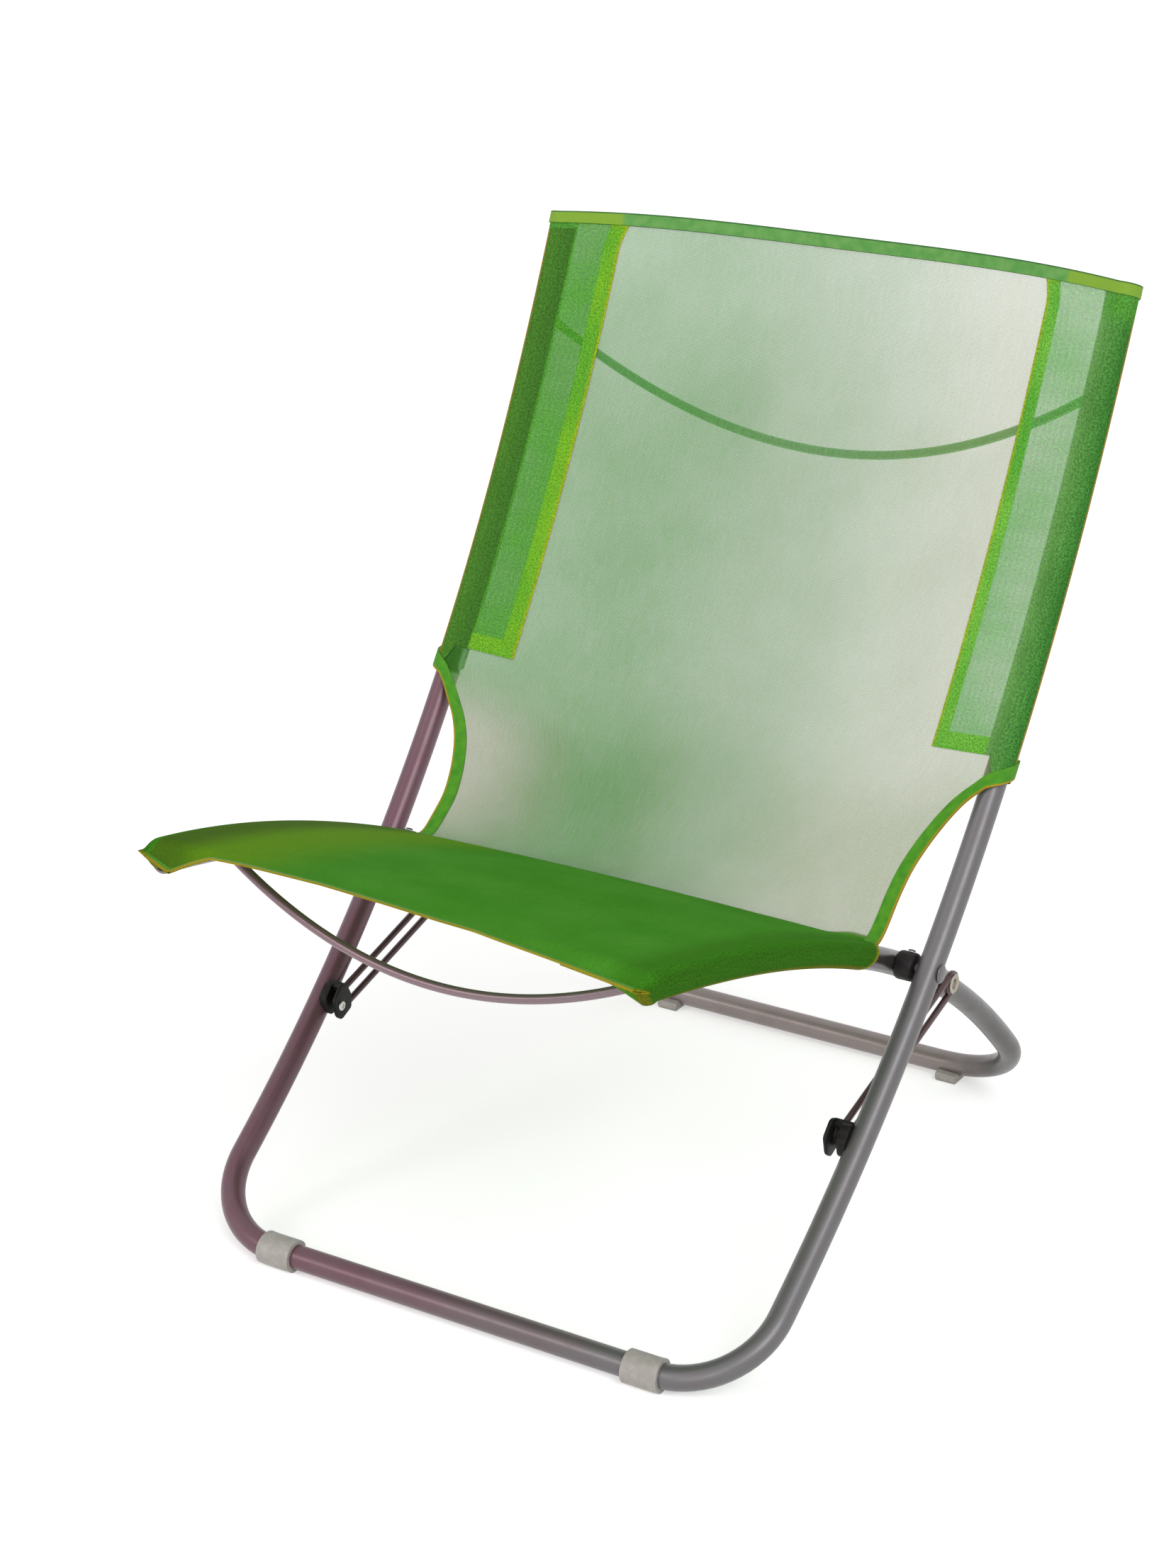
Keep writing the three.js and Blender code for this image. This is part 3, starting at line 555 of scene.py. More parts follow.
steel = plated_steel("steel", (0.72, 0.71, 0.68), 0.26)
saddle_up = Vector((0, *-seat_view.away(pivot_on_seat)))
screw_x = (seat_half_width + tube_radius + rail_inner) / 2
saddle_top = Vector((screw_x, pivot.y, pivot.z)) + saddle_up * (saddle_height / 2 + fit_gap)
saddle_screw = screw_head(
    "saddle_screw", saddle_screw_radius, saddle_screw_height, saddle_top, saddle_up, saddle_screw_slot
)
dark_steel = plated_steel("dark_steel", (0.07, 0.07, 0.07), 0.3)
fit_pair(saddle_screw, "saddle_screw", ["seat_frame"], dark_steel, "steel")

# Pivot rivets: steel with a low domed head at each end, one on each side, through the main rail, the saddle
# and the seat tube. They are painted over with the frame.
rivet_radius = 0.004
rivet_head = 0.0075
rivet_head_height = 0.002


def domed_pin(name, shank, head, height, length, place, axis):
    """A pin with a low domed head at each end."""
    dome = [(math.cos(a), math.sin(a)) for a in np.linspace(0, math.pi / 2, 7)]
    profile = [(0, -height)] + [(head * c, -height * s) for c, s in reversed(dome[:-1])]
    profile += [(shank, 0), (shank, length)]
    profile += [(head * c, length + height * s) for c, s in dome]
    return turned(name, profile, place, axis)


rivet_from = seat_half_width - tube_radius - fit_gap
rivet_length = rail_inner + 2 * tube_radius + fit_gap - rivet_from
rivet_place = Vector((rivet_from, pivot.y, pivot.z))
rivet = domed_pin(
    "rivet", rivet_radius, rivet_head, rivet_head_height, rivet_length, rivet_place, (1, 0, 0)
)
fit_pair(rivet, "pivot_rivet", ["main_frame"], frame_paint, "frame_paint")

# Slotted stays: a hairpin of painted wire with a flat eye, hinged on each seat leg below the pivot. The
# round end of the slot lies at the guide block when the chair is open.
stay_hinge_distance = 0.100
stay_block_distance = 0.143
stay_block_drop = 0.0035
wire_radius = 0.00275
wire_offset = 0.00765
stay_clearance = 0.0008
band_radius = 0.0118
band_length = 0.024
eye_thickness = 0.004
eye_edge = 0.0008
eye_hole_reach = 0.01
pin_radius = 0.004
wire_plane = seat_half_width + band_radius + stay_clearance + wire_radius

hinge_station = pivot_on_seat - stay_hinge_distance
block_station = pivot_on_main - stay_block_distance
hinge = Vector((0, *seat_view.at(hinge_station)))
rail_along = main_view.heading(block_station)
below_rail = Vector((0, rail_along[1], -rail_along[0]))
stay_end = Vector((0, *main_view.at(block_station))) + stay_block_drop * below_rail
stay_along = (stay_end - hinge).normalized()
stay_across = Vector((0, stay_along.z, -stay_along.y))


def by_stay(along, up):
    """A place in the stay's plane: distance past its slot end, and height above its middle line."""
    return stay_end + stay_along * along + stay_across * up


stay_start = wire_radius - (stay_end - hinge).length
stay_turn = [math.pi / 2 - math.pi * i / 16 for i in range(17)]
stay_line = [
    by_stay(stay_start, wire_offset),
    *(by_stay(wire_offset * math.cos(a), wire_offset * math.sin(a)) for a in stay_turn),
    by_stay(stay_start, -wire_offset),
]
stay = bent_rod("stay", [(wire_plane, p.y, p.z) for p in stay_line], wire_radius, 6)
eye_size = 2 * (wire_offset + wire_radius)
eye_outline = stadium(eye_size, eye_size, 0, hinge)
eye_sides = (wire_plane - eye_thickness / 2, wire_plane + eye_thickness / 2)
eye = side_plate("eye", eye_outline, *eye_sides, eye_edge)
combine(stay, eye, "UNION")
hole_line = [(wire_plane + reach, hinge.y, hinge.z) for reach in (-eye_hole_reach, eye_hole_reach)]
pin_hole = bent_rod("pin_hole", hole_line, pin_radius + fit_gap)
combine(stay, pin_hole, "DIFFERENCE")
stay_paint = painted_metal("stay_paint", (-0.2, 0.2), (0.055, 0.017, 0.020), (0.075, 0.035, 0.038), 0.36)
fit_pair(stay, "stay", ["right_stay", "left_stay"], stay_paint, "frame_paint")

# Stay bands and pins: a painted metal band round each seat leg, and the hollow steel pin that the eye of the
# stay turns on, with a rolled rim.
band_edge = 0.0004
pin_hollow = 0.0022
pin_head = [
    (0.0080, 0),
    (0.0081, 0.0007),
    (0.0074, 0.0014),
    (0.0054, 0.0014),
    (0.0044, 0.0006),
    (0.0036, -pin_hollow),
]
band_stations = np.linspace(hinge_station - band_length / 2, hinge_station + band_length / 2, 7)
band_line = np.column_stack([seat_half(band_stations), seat_view.at(band_stations)])
band = bent_rod("band", band_line, band_radius, 10)
combine(band, tube_room(seat_line), "DIFFERENCE")
soften_edges(band, band_edge)
# The bands take the seat frame's paint: painted shade on the right band, the painted highlight colour on the
# left.
fit_pair(band, "stay_band", ["seat_frame"], brown_paint, "frame_paint")

pin_from = seat_half_width + band_radius + fit_gap
pin_length = wire_plane + eye_thickness / 2 + fit_gap - pin_from
pin_profile = [(0, 0), (pin_radius, 0), (pin_radius, pin_length)]
pin_profile += [(radius, pin_length + along) for radius, along in pin_head] + [(0, pin_length - pin_hollow)]
stay_pin = turned("stay_pin", pin_profile, Vector((pin_from, hinge.y, hinge.z)), (1, 0, 0))
warm_steel = plated_steel("warm_steel", (0.42, 0.38, 0.31), 0.3)
fit_pair(stay_pin, "stay_pin", ["seat_frame"], warm_steel, "steel")

# Guide blocks: black plastic on the inside of the main rails, a base against the rail and a plate inside the
# wires, joined above them by a hood, so that the stay can drop out below. A steel screw holds each.
block_plate = 0.003
block_hood = 0.0045
block_seat = 0.0065
block_corner = 0.003
block_edge = 0.0009
block_middle = np.array((0.008, 0.004))
base_share = 0.88
hood_reach = (-0.001, 0.006)
hood_overlap = 0.001
block_under = wire_offset + wire_radius + stay_clearance
block_top = block_under + block_hood
block_screw_radius = 0.004
block_screw_height = 0.0018
block_screw_slot = 0.001
screw_shift = 0.0125
screw_rise = 0.0025
plate_outer = wire_plane - wire_radius - stay_clearance
plate_inner = plate_outer - block_plate
base_inner = wire_plane + wire_radius + stay_clearance
rail_side = rail_half(block_station) - block_seat


def stay_outline(corners, rounding=0.0):
    """An outline in the stay's plane, with its corners rounded off, as (y, z) points."""
    corners = np.array(corners)
    outline = []
    for before, corner, after in zip(np.roll(corners, 1, 0), corners, np.roll(corners, -1, 0)):
        arms = [corner + rounding * (p - corner) / np.linalg.norm(p - corner) for p in (before, after)]
        for t in np.linspace(0, 1, 6 if rounding else 1):
            outline.append((1 - t) ** 2 * arms[0] + 2 * t * (1 - t) * corner + t**2 * arms[1])
    return [(p.y, p.z) for p in (by_stay(along, up) for along, up in outline)]


plate_corners = [
    (-0.0035, 0.004),
    (0.0, -0.0085),
    (0.0155, -0.0105),
    (0.0205, -0.004),
    (0.0195, 0.012),
    (0.006, 0.0195),
    (-0.0005, 0.0165),
]
plate_outline = stay_outline(plate_corners, block_corner)
hood_from, hood_to = hood_reach
hood_outline = stay_outline(
    [(hood_from, block_under), (hood_to, block_under), (hood_to, block_top), (hood_from, block_top)]
)
base_corners = block_middle + base_share * (np.array(plate_corners) - block_middle)
base_outline = stay_outline(base_corners, block_corner)
block = side_plate("block", plate_outline, plate_inner, plate_outer, block_edge)
hood = side_plate("hood", hood_outline, plate_inner + hood_overlap, rail_side, block_edge)
base = side_plate("base", base_outline, base_inner, rail_side, block_edge)
combine(block, hood, "UNION")
combine(block, base, "UNION")
combine(block, tube_room(main_line), "DIFFERENCE")
fit_pair(block, "guide_block", ["main_frame"], black_plastic, "black_plastic")
screw_middle = by_stay(screw_shift, screw_rise)
block_screw_place = Vector((plate_inner - fit_gap, screw_middle.y, screw_middle.z))
block_screw = screw_head(
    "block_screw", block_screw_radius, block_screw_height, block_screw_place, (-1, 0, 0), block_screw_slot
)
fit_pair(block_screw, "block_screw", ["main_frame"], steel, "steel")

# Spreader rods: painted round bars, bent to a bow. A green one hangs between the main rails behind the back
# and shows through the cloth, and a mauve grey one between the seat rails under the front of the seat.
rod_radius = 0.00375
back_rod_from_top = 0.092
back_rod_bow = (0.020, -0.086)
front_rod_from_tip = 0.093
front_rod_bow = (-0.017, -0.058)
rod_depth = 0.0085


def bowed_rod(name, view, half_width, from_end, bow):
    """A bar that hangs in a bow between a frame's two rails, at a distance from their ends."""
    station = view.length - from_end
    reach = half_width(station) - rod_depth
    across = np.linspace(-1, 1, 61)
    hang = (1 - across**2)[:, None] * np.array(bow)
    return bent_rod(name, np.column_stack([reach * across, view.at(station) + hang]), rod_radius, 8)


back_rod = bowed_rod("back_rod_piece", main_view, rail_half, back_rod_from_top, back_rod_bow)
green_paint = painted_metal("green_paint", (-0.2, 0.2), (0.10, 0.60, 0.13), (0.11, 0.62, 0.13), 0.4)
fit(back_rod, "main_frame", green_paint, "frame_paint", "back_rod")
front_rod = bowed_rod("front_rod_piece", seat_view, seat_half, front_rod_from_tip, front_rod_bow)
mauve_paint = painted_metal("mauve_paint", (-0.2, 0.2), (0.24, 0.14, 0.17), (0.24, 0.17, 0.19), 0.33)
fit(front_rod, "seat_frame", mauve_paint, "frame_paint", "front_rod")

# The sling: one long panel of sheer green mesh from the top of the back, past the pivots, to the front of
# the seat. It lies on the sitter's side of the tubes, sags a little between them, and is cut in at the waist.
cloth_offset = 0.0108
cloth_thickness = 0.0006
back_sleeve_length = 0.407
seat_edge_start = 0.045
back_sag = 0.020
waist_sag = 0.026
seat_crown = 0.004
top_arch = 0.012
arch_reach = 0.12
crease_softness = 0.03
lift_reach = 0.32
drop_reach = 0.024
dip_reach = 0.022
edge_points = 80
waist_points = 62
cutout_edge = [
    (0.2436, 0.3556, 0.3617),
    (0.2335, 0.3520, 0.3485),
    (0.2227, 0.3400, 0.3290),
    (0.2155, 0.3240, 0.3100),
    (0.2125, 0.3075, 0.2900),
    (0.2140, 0.2846, 0.2716),
    (0.2134, 0.2725, 0.2630),
]

back_sleeve_end = main_view.length - back_sleeve_length


def cloth_edge(view, half_width, s):
    """The line on the sitter's side of a rail where the cloth lies, and the direction from the sitter."""
    away = view.away(s)
    return np.column_stack([half_width(s), view.at(s) - away * cloth_offset]), away


def run_along(line):
    """The distance along a line of points, at each of them."""
    return np.concatenate([[0], np.cumsum(np.linalg.norm(np.diff(line, axis=0), axis=1))])


def evened(line, count, passes=12):
    """A line through the same points, evenly spaced and with its corners softened."""
    along = run_along(line)
    even = np.linspace(0, along[-1], count)
    points = np.column_stack([np.interp(even, along, line[:, k]) for k in range(line.shape[1])])
    for _ in range(passes):
        points[1:-1] += 0.5 * ((points[:-2] + points[2:]) / 2 - points[1:-1])
    return points


back_stations = np.linspace(main_view.length, back_sleeve_end, edge_points)
back_edge, back_away = cloth_edge(main_view, rail_half, back_stations)
seat_stations = np.linspace(pivot_on_seat + seat_edge_start, seat_view.length, edge_points)
seat_edge, seat_away = cloth_edge(seat_view, seat_half, seat_stations)
cutout_points = np.array(cutout_edge) + (0, front_bar_y, 0)
waist_line = np.concatenate([back_edge[-1:], cutout_points, seat_edge[:1]])
waist_edge = evened(waist_line, waist_points)[1:-1]
t = np.linspace(0, 1, len(waist_edge) + 2)[1:-1, None]
waist_away = back_away[-1] * (1 - t) + seat_away[0] * t
waist_away = waist_away / np.linalg.norm(waist_away, axis=1, keepdims=True)

edge = np.concatenate([back_edge, waist_edge, seat_edge])
away = np.concatenate([back_away, waist_away, seat_away])
sag_steps = (back_sag, waist_sag, -seat_crown, -seat_crown)
down = run_along(edge)
sling_length = down[-1]
crease_down = np.interp(-cutout_points[-1, 1], -edge[:, 1], down)
waist_down = (down[edge_points - 1], crease_down, down[edge_points + len(waist_edge)])
sag = np.interp(down, (0, waist_down[0], waist_down[2], sling_length), sag_steps)
middle = edge[:, 1:] + away * sag[:, None]
soften = np.exp(-(((down - crease_down) / crease_softness) ** 2))[:, None]
for _ in range(80):
    middle[1:-1] += soften[1:-1] * 0.5 * ((middle[:-2] + middle[2:]) / 2 - middle[1:-1])


def eased(share):
    """A share from 0 to 1 that starts and ends slowly."""
    share = np.clip(share, 0, 1)
    return share * share * (3 - 2 * share)


def settle(distance, reach):
    """1 at no distance, easing to 0 at the reach."""
    return eased(1 - distance / reach)


def top_rise(v, a):
    """The arch of the back's top edge, as a shift in the side view."""
    arch = top_arch * (1 - np.minimum(np.abs(a), 1) ** 3) * np.clip(1 - v / arch_reach, 0, 1)
    return arch[..., None] * main_view.heading(main_view.length)


def seat_slack(x, ahead):
    """The height of the slack seat cloth over its even curve; ahead is the distance to the front edge."""
    lift = np.interp(x, (-0.22, -0.15, -0.05, 0.05, 0.10), (0.0075, 0.0065, 0.0055, 0.001, 0))
    drop = np.interp(x, (0.08, 0.15, 0.22), (0, 0.005, 0.0105))
    dip_x = (-0.216, -0.2085, -0.1885, -0.1685, -0.15, -0.12)
    dip = np.interp(x, dip_x, (0.007, 0.011, 0.0195, 0.009, 0.001, 0))
    raised = lift * settle(ahead, lift_reach)
    return raised - drop * settle(ahead, drop_reach) - dip * settle(ahead, dip_reach)


def sling_place(v, a):
    """A point of the panel: v metres down from its top edge, a from -1 at the left edge to 1 at the right."""
    half, edge_y, edge_z = (np.interp(v, down, edge[:, k]) for k in range(3))
    middle_y, middle_z = (np.interp(v, down, middle[:, k]) for k in range(2))
    rise = top_rise(v, a)
    y = middle_y + (edge_y - middle_y) * a**2 + rise[..., 0]
    z = middle_z + (edge_z - middle_z) * a**2 + rise[..., 1]
    return np.stack([half * a, y, z + seat_slack(half * a, sling_length - v)], -1)


def cloth_piece(name, columns, rows, place, thickness):
    """A sheet of cloth: a grid whose points are set by place(u, v), u across and v along, from 0 to 1."""
    bpy.ops.object.select_all(action="DESELECT")
    bpy.ops.mesh.primitive_grid_add(x_subdivisions=columns, y_subdivisions=rows, size=1)
    made = bpy.context.object
    made.name = name
    flat = np.empty(3 * len(made.data.vertices))
    made.data.vertices.foreach_get("co", flat)
    u, v = flat[0::3] + 0.5, flat[1::3] + 0.5
    made.data.vertices.foreach_set("co", place(u, v).ravel())
    apply_modifier(made, "SOLIDIFY", thickness=thickness, offset=0, use_even_offset=False)
    bpy.ops.object.mode_set(mode="EDIT")
    bpy.ops.mesh.select_all(action="SELECT")
    bpy.ops.mesh.normals_make_consistent(inside=False)
    bpy.ops.object.mode_set(mode="OBJECT")
    bpy.ops.object.shade_smooth_by_angle(angle=math.radians(60))
    return made


def flat_size(place):
    """The width and length of a sheet laid flat, at their greatest."""
    shares = np.linspace(0, 1, 61)
    u, v = (grid.ravel() for grid in np.meshgrid(shares, shares))
    points = place(u, v).reshape(len(shares), len(shares), 3)
    width = np.linalg.norm(np.diff(points, axis=1), axis=2).sum(1).max()
    length = np.linalg.norm(np.diff(points, axis=0), axis=2).sum(0).max()
    return float(width), float(length)


thread_pitch = 0.0009
weave_depth = 0.3


def join(node, operation, *values):
    """Values added, multiplied or compared one after another."""
    total = values[0]
    for value in values[1:]:
        total = node("ShaderNodeMath", {0: total, 1: value}, operation=operation).outputs["Value"]
    return total


def on_cloth(node, size):
    """A place on a sheet: its share across, its share along, and both in metres."""
    uv = node("ShaderNodeTexCoord").outputs["UV"]
    parts = node("ShaderNodeSeparateXYZ", {"Vector": uv}).outputs
    flat = node("ShaderNodeVectorMath", {0: uv, 1: (*size, 1)}, operation="MULTIPLY").outputs["Vector"]
    return parts["X"], parts["Y"], flat


def mesh_cloth(name, size, coverage, tint, mottle):
    """Sheer woven mesh: two crossing sets of threads with open squares between them.

    coverage(node, u, v, cloud) gives the share of the surface that is thread, and tint(node, u, v, cloud) the
    colour of the threads; mottle is how much that colour varies from spot to spot.
    """
    material, node, surface = new_material(name)
    u, v, flat = on_cloth(node, size)
    drawn = node("ShaderNodeVectorMath", {0: flat, 1: (900, 40, 1)}, operation="MULTIPLY").outputs["Vector"]
    streak = noise(node, drawn, 1.0, 3.0)
    grain = noise(node, flat, 560, 2.0)
    cloud = noise(node, flat, 11.0, 4.0)
    share = join(
        node,
        "ADD",
        coverage(node, u, v, cloud),
        ramp(node, streak, 0.3, 0.7, -0.03, 0.03),
        ramp(node, grain, 0.3, 0.7, -0.025, 0.025),
    )
    open_share = join(node, "SUBTRACT", 1.0, join(node, "MINIMUM", share, 1.0))
    open_side = join(node, "POWER", open_share, 0.5)
    threads = node("ShaderNodeSeparateXYZ", {"Vector": scaled(node, flat, 1 / thread_pitch)}).outputs
    gaps = []
    for axis in ("X", "Y"):
        wave = join(node, "MULTIPLY", join(node, "PINGPONG", threads[axis], 0.5), 2.0)
        gaps.append(ramp(node, join(node, "SUBTRACT", open_side, wave), -0.1, 0.1, 0.0, 1.0))
    thread = join(node, "SUBTRACT", 1.0, join(node, "MULTIPLY", *gaps))
    filled = node("ShaderNodeMix", {"Factor": weave_depth, "A": share, "B": thread}, clamp_result=True)
    front = join(node, "SUBTRACT", 1.0, node("ShaderNodeNewGeometry").outputs["Backfacing"])
    seen = join(node, "MULTIPLY", filled.outputs["Result"], front)
    tone = ramp(node, streak, 0.3, 0.7, 0.93, 1.07)
    tone = join(node, "MULTIPLY", tone, ramp(node, grain, 0.3, 0.7, 1 - mottle, 1 + mottle))
    shade = scaled(node, tint(node, u, v, cloud), tone)
    surface(Base_Color=shade, Alpha=seen, Normal=bumps(node, thread, 0.02, 0.0002))
    surface(Roughness=0.8, Specular_IOR_Level=0.03)
    return material


def panel_place(u, v):
    return sling_place(v * sling_length, 2 * u - 1)


crease_share = crease_down / sling_length


def on_seat(node, u, v):
    """1 on the dense cloth of the seat, which reaches a little further back at its right edge."""
    reach = ramp(node, u, 0.79, 0.95, -0.05 / sling_length, 0.003 / sling_length)
    shifted = join(node, "ADD", v, reach)
    return ramp(node, shifted, crease_share - 0.004, crease_share + 0.004, 0.0, 1.0)


def between(node, value, rise, fall):
    """1 between two values, easing from 0 over the rise and back to 0 over the fall."""
    risen = ramp(node, value, *rise, 0.0, 1.0)
    return join(node, "MULTIPLY", risen, ramp(node, value, *fall, 1.0, 0.0))


def at_waist(node, u, v):
    """Two zones of the waist: thin cloth beside the left cut-out, and a dense corner by the left sleeve."""
    low = between(node, v, (0.41, 0.50), (0.53, 0.66))
    thin = join(node, "MULTIPLY", low, ramp(node, u, 0.0, 0.32, 1.0, 0.0))
    below = between(node, v, (0.405, 0.412), (0.432, 0.438))
    return thin, join(node, "MULTIPLY", below, ramp(node, u, 0.022, 0.03, 1.0, 0.0))


def panel_coverage(node, u, v, cloud):
    thin, corner = at_waist(node, u, v)
    return join(
        node,
        "ADD",
        ramp(node, u, 0.35, 0.92, 0.82, 0.61),
        ramp(node, v, 0.0, 0.18, -0.11, 0.0),
        ramp(node, v, 0.40, 0.50, 0.0, 0.10),
        ramp(node, cloud, 0.3, 0.7, -0.022, 0.022),
        ramp(node, thin, 0.0, 1.0, 0.0, -0.15),
        on_seat(node, u, v),
        corner,
    )


def panel_tint(node, u, v, cloud):
    thin, corner = at_waist(node, u, v)
    left_half = ramp(node, u, 0.28, 0.55, 0.0, 1.0)
    pale = blend_colours(node, left_half, (0.115, 0.285, 0.085, 1), (0.18, 0.31, 0.14, 1))
    pale = blend_colours(node, ramp(node, u, 0.55, 0.9, 0.0, 1.0), pale, (0.24, 0.29, 0.135, 1))
    pale = blend_colours(node, thin, pale, (0.25, 0.27, 0.15, 1))
    pale = blend_colours(node, corner, pale, (0.040, 0.14, 0.02, 1))
    patches = ramp(node, cloud, 0.3, 0.7, 0.0, 1.0)
    dense = blend_colours(node, patches, (0.053, 0.252, 0.015, 1), (0.073, 0.292, 0.025, 1))
    dense = blend_colours(node, ramp(node, u, 0.15, 0.34, 1.0, 0.0), dense, (0.122, 0.285, 0.010, 1))
    # Painted shade: darker along the seat's left edge, beside the left sleeve.
    dense = blend_colours(node, ramp(node, u, 0.03, 0.13, 1.0, 0.0), dense, (0.065, 0.145, 0.010, 1))
    dense = blend_colours(node, ramp(node, u, 0.92, 0.985, 0.0, 0.9), dense, (0.046, 0.195, 0.012, 1))
    return blend_colours(node, on_seat(node, u, v), pale, dense)


panel_size = flat_size(panel_place)
panel_cloth = mesh_cloth("panel_cloth", panel_size, panel_coverage, panel_tint, 0.1)
panel = cloth_piece("sling_panel", 90, 200, panel_place, cloth_thickness)
panel.data.materials.append(panel_cloth)
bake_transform(panel)
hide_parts("back_sling", "waist_sling", "seat_sling")

# Back sleeves: at each side a strip of the mesh wraps round the tube and comes forward over the panel as a
# flap, with a bright folded hem along its inner side and its foot. The flap stops short of the sleeve's end.
# The flap and the hem are coloured lighter to paint the light that shines through them from behind.
sleeve_radius = 0.0120
wrap_from = 235
wrap_share = 0.4
flap_rise = 0.015
flap_step = 0.06
flap_width = 0.062
flap_taper = 0.002
flap_flare = 0.006
flare_reach = 0.03


def view_lift(view, s, lift):
    """A point of the side view at a height over a rail, towards the sitter."""
    return view.at(s) - view.away(s) * lift[:, None]


def back_sleeve_place(u, v):
    """Points of the right sleeve: round the tube from behind, then inwards over the panel."""
    turn = np.radians(wrap_from) * (1 - np.clip(u / wrap_share, 0, 1))
    flap = np.clip((u - wrap_share) / (1 - wrap_share), 0, 1)
    end = back_sleeve_end + flap_rise * np.clip((u - wrap_share) / flap_step, 0, 1)
    s = main_view.length + (end - main_view.length) * v
    from_top = main_view.length - s
    half = rail_half(s)
    width = flap_width - flap_taper * v + flap_flare * settle(from_top, flare_reach)
    a = (half - width * flap) / half
    sag_here = back_sag + (waist_sag - back_sag) * from_top / back_sleeve_length
    lift = sleeve_radius * np.cos(turn) - sag_here * (1 - a**2)
    x = half + sleeve_radius * np.sin(turn) - width * flap
    return np.column_stack([x, view_lift(main_view, s, lift) + top_rise(from_top, a)])


def back_sleeve_cloth(
    name, seam, hem_from, fringe_at, top_zone, flap_share, backlit_flap_colour, tube_shades, backlit_hem_shades
):
    """The mesh of one back sleeve: dense on the tube, sheerer on the flap, a bright folded hem; flap and hem
    carry painted backlight.
    """
    tube_back, tube_front = ((*shade, 1) for shade in tube_shades)
    tube_patch = (*(0.6 * c for c in tube_shades[0]), 1)
    hem_dark, hem_light = ((*shade, 1) for shade in backlit_hem_shades)

    def zones(node, u, v):
        inner = ramp(node, u, hem_from - 0.014, hem_from + 0.014, 0.0, 1.0)
        foot = ramp(node, v, 0.961, 0.965, 0.0, 1.0)
        on_flap = ramp(node, u, seam - 0.008, seam + 0.008, 0.0, 1.0)
        return join(node, "MAXIMUM", inner, join(node, "MULTIPLY", foot, on_flap)), on_flap

    def coverage(node, u, v, cloud):
        hem, on_flap = zones(node, u, v)
        sheer = ramp(node, cloud, 0.3, 0.7, *flap_share)
        share = node("ShaderNodeMix", {"Factor": on_flap, "A": 0.97, "B": sheer}).outputs["Result"]
        return node("ShaderNodeMix", {"Factor": hem, "A": share, "B": 1.2}).outputs["Result"]

    def tint(node, u, v, cloud):
        hem, on_flap = zones(node, u, v)
        tube = blend_colours(node, ramp(node, u, 0.26, seam, 0.0, 1.0), tube_back, tube_front)
        tube = blend_colours(node, ramp(node, cloud, 0.35, 0.65, 0.0, 0.35), tube, tube_patch)
        frayed = ramp(node, u, fringe_at - 0.02, fringe_at - 0.01, 0.0, 1.0)
        fringe = blend_colours(node, frayed, tube, (0.36, 0.23, 0.03, 1))
        past_fringe = ramp(node, u, fringe_at + 0.045, fringe_at + 0.058, 0.0, 1.0)
        tube = blend_colours(node, past_fringe, fringe, tube)
        tube = blend_colours(node, ramp(node, v, *top_zone, 1.0, 0.0), tube, (0.085, 0.30, 0.04, 1))
        # Painted light: the flap's and the hem's colours are lifted for light shining through the cloth from
        # behind.
        shade = blend_colours(node, on_flap, tube, (*backlit_flap_colour, 1))
        bright = blend_colours(node, ramp(node, cloud, 0.35, 0.65, 0.0, 1.0), hem_dark, hem_light)
        bright = blend_colours(node, ramp(node, u, 0.965, 1.0, 0.0, 0.7), bright, (0.40, 0.38, 0.01, 1))
        bright = blend_colours(node, ramp(node, v, 0.0, 0.04, 0.8, 0.0), bright, (0.40, 0.43, 0.01, 1))
        return blend_colours(node, hem, shade, bright)

    return mesh_cloth(name, sleeve_size, coverage, tint, 0.3)


sleeve_size = flat_size(back_sleeve_place)
right_sleeve_cloth = back_sleeve_cloth(
    "right_sleeve_cloth",
    seam=0.505,
    hem_from=0.885,
    fringe_at=0.20,
    top_zone=(0.05, 0.10),
    flap_share=(0.50, 0.74),
    backlit_flap_colour=(0.125, 0.42, 0.085),
    # painted shade: darker at the back and outer side of the tube, lighter towards the seam
    tube_shades=[(0.050, 0.215, 0.034), (0.135, 0.33, 0.080)],
    backlit_hem_shades=[(0.10, 0.37, 0.040), (0.17, 0.46, 0.055)],
)
left_sleeve_cloth = back_sleeve_cloth(
    "left_sleeve_cloth",
    seam=0.575,
    hem_from=0.86,
    fringe_at=0.290,
    top_zone=(0.034, 0.040),
    flap_share=(0.72, 0.93),
    backlit_flap_colour=(0.085, 0.335, 0.03),
    tube_shades=[(0.085, 0.24, 0.03), (0.050, 0.165, 0.022)],
    backlit_hem_shades=[(0.11, 0.36, 0.028), (0.17, 0.42, 0.024)],
)
back_sleeve = cloth_piece("back_sleeve_right", 70, 90, back_sleeve_place, cloth_thickness)
back_sleeve_left = mirrored(back_sleeve, "back_sleeve_left")
fit(back_sleeve, "main_frame", right_sleeve_cloth, "mesh_cloth")
fit(back_sleeve_left, "main_frame", left_sleeve_cloth, "mesh_cloth")

# Seat sleeves: the panel wraps down round each tube and back under the seat to a seam. Behind, each is cut on
# a slant. In front the mouth runs past the tube's end and hangs flat, drawn in on the left and out on the
# right.
seat_sleeve_starts = [(0, 0.033), (0.2, 0.046), (0.4, 0.060), (1, 0.060)]
seat_flap_width = 0.058
seam_tuck = 0.0016
mouth_depth = 0.019
left_mouth = [(0, 0, 0.0108), (0.2, 0.0075, 0.0100), (0.4, -0.001, 0.0094), (1, -seat_flap_width, 0.0114)]
right_mouth = [
    (0, 0, 0.0108),
    (0.15, 0.010, 0.0128),
    (0.25, 0.0125, 0.0126),
    (0.4, 0.002, 0.0098),
    (1, -seat_flap_width, 0.0114),
]


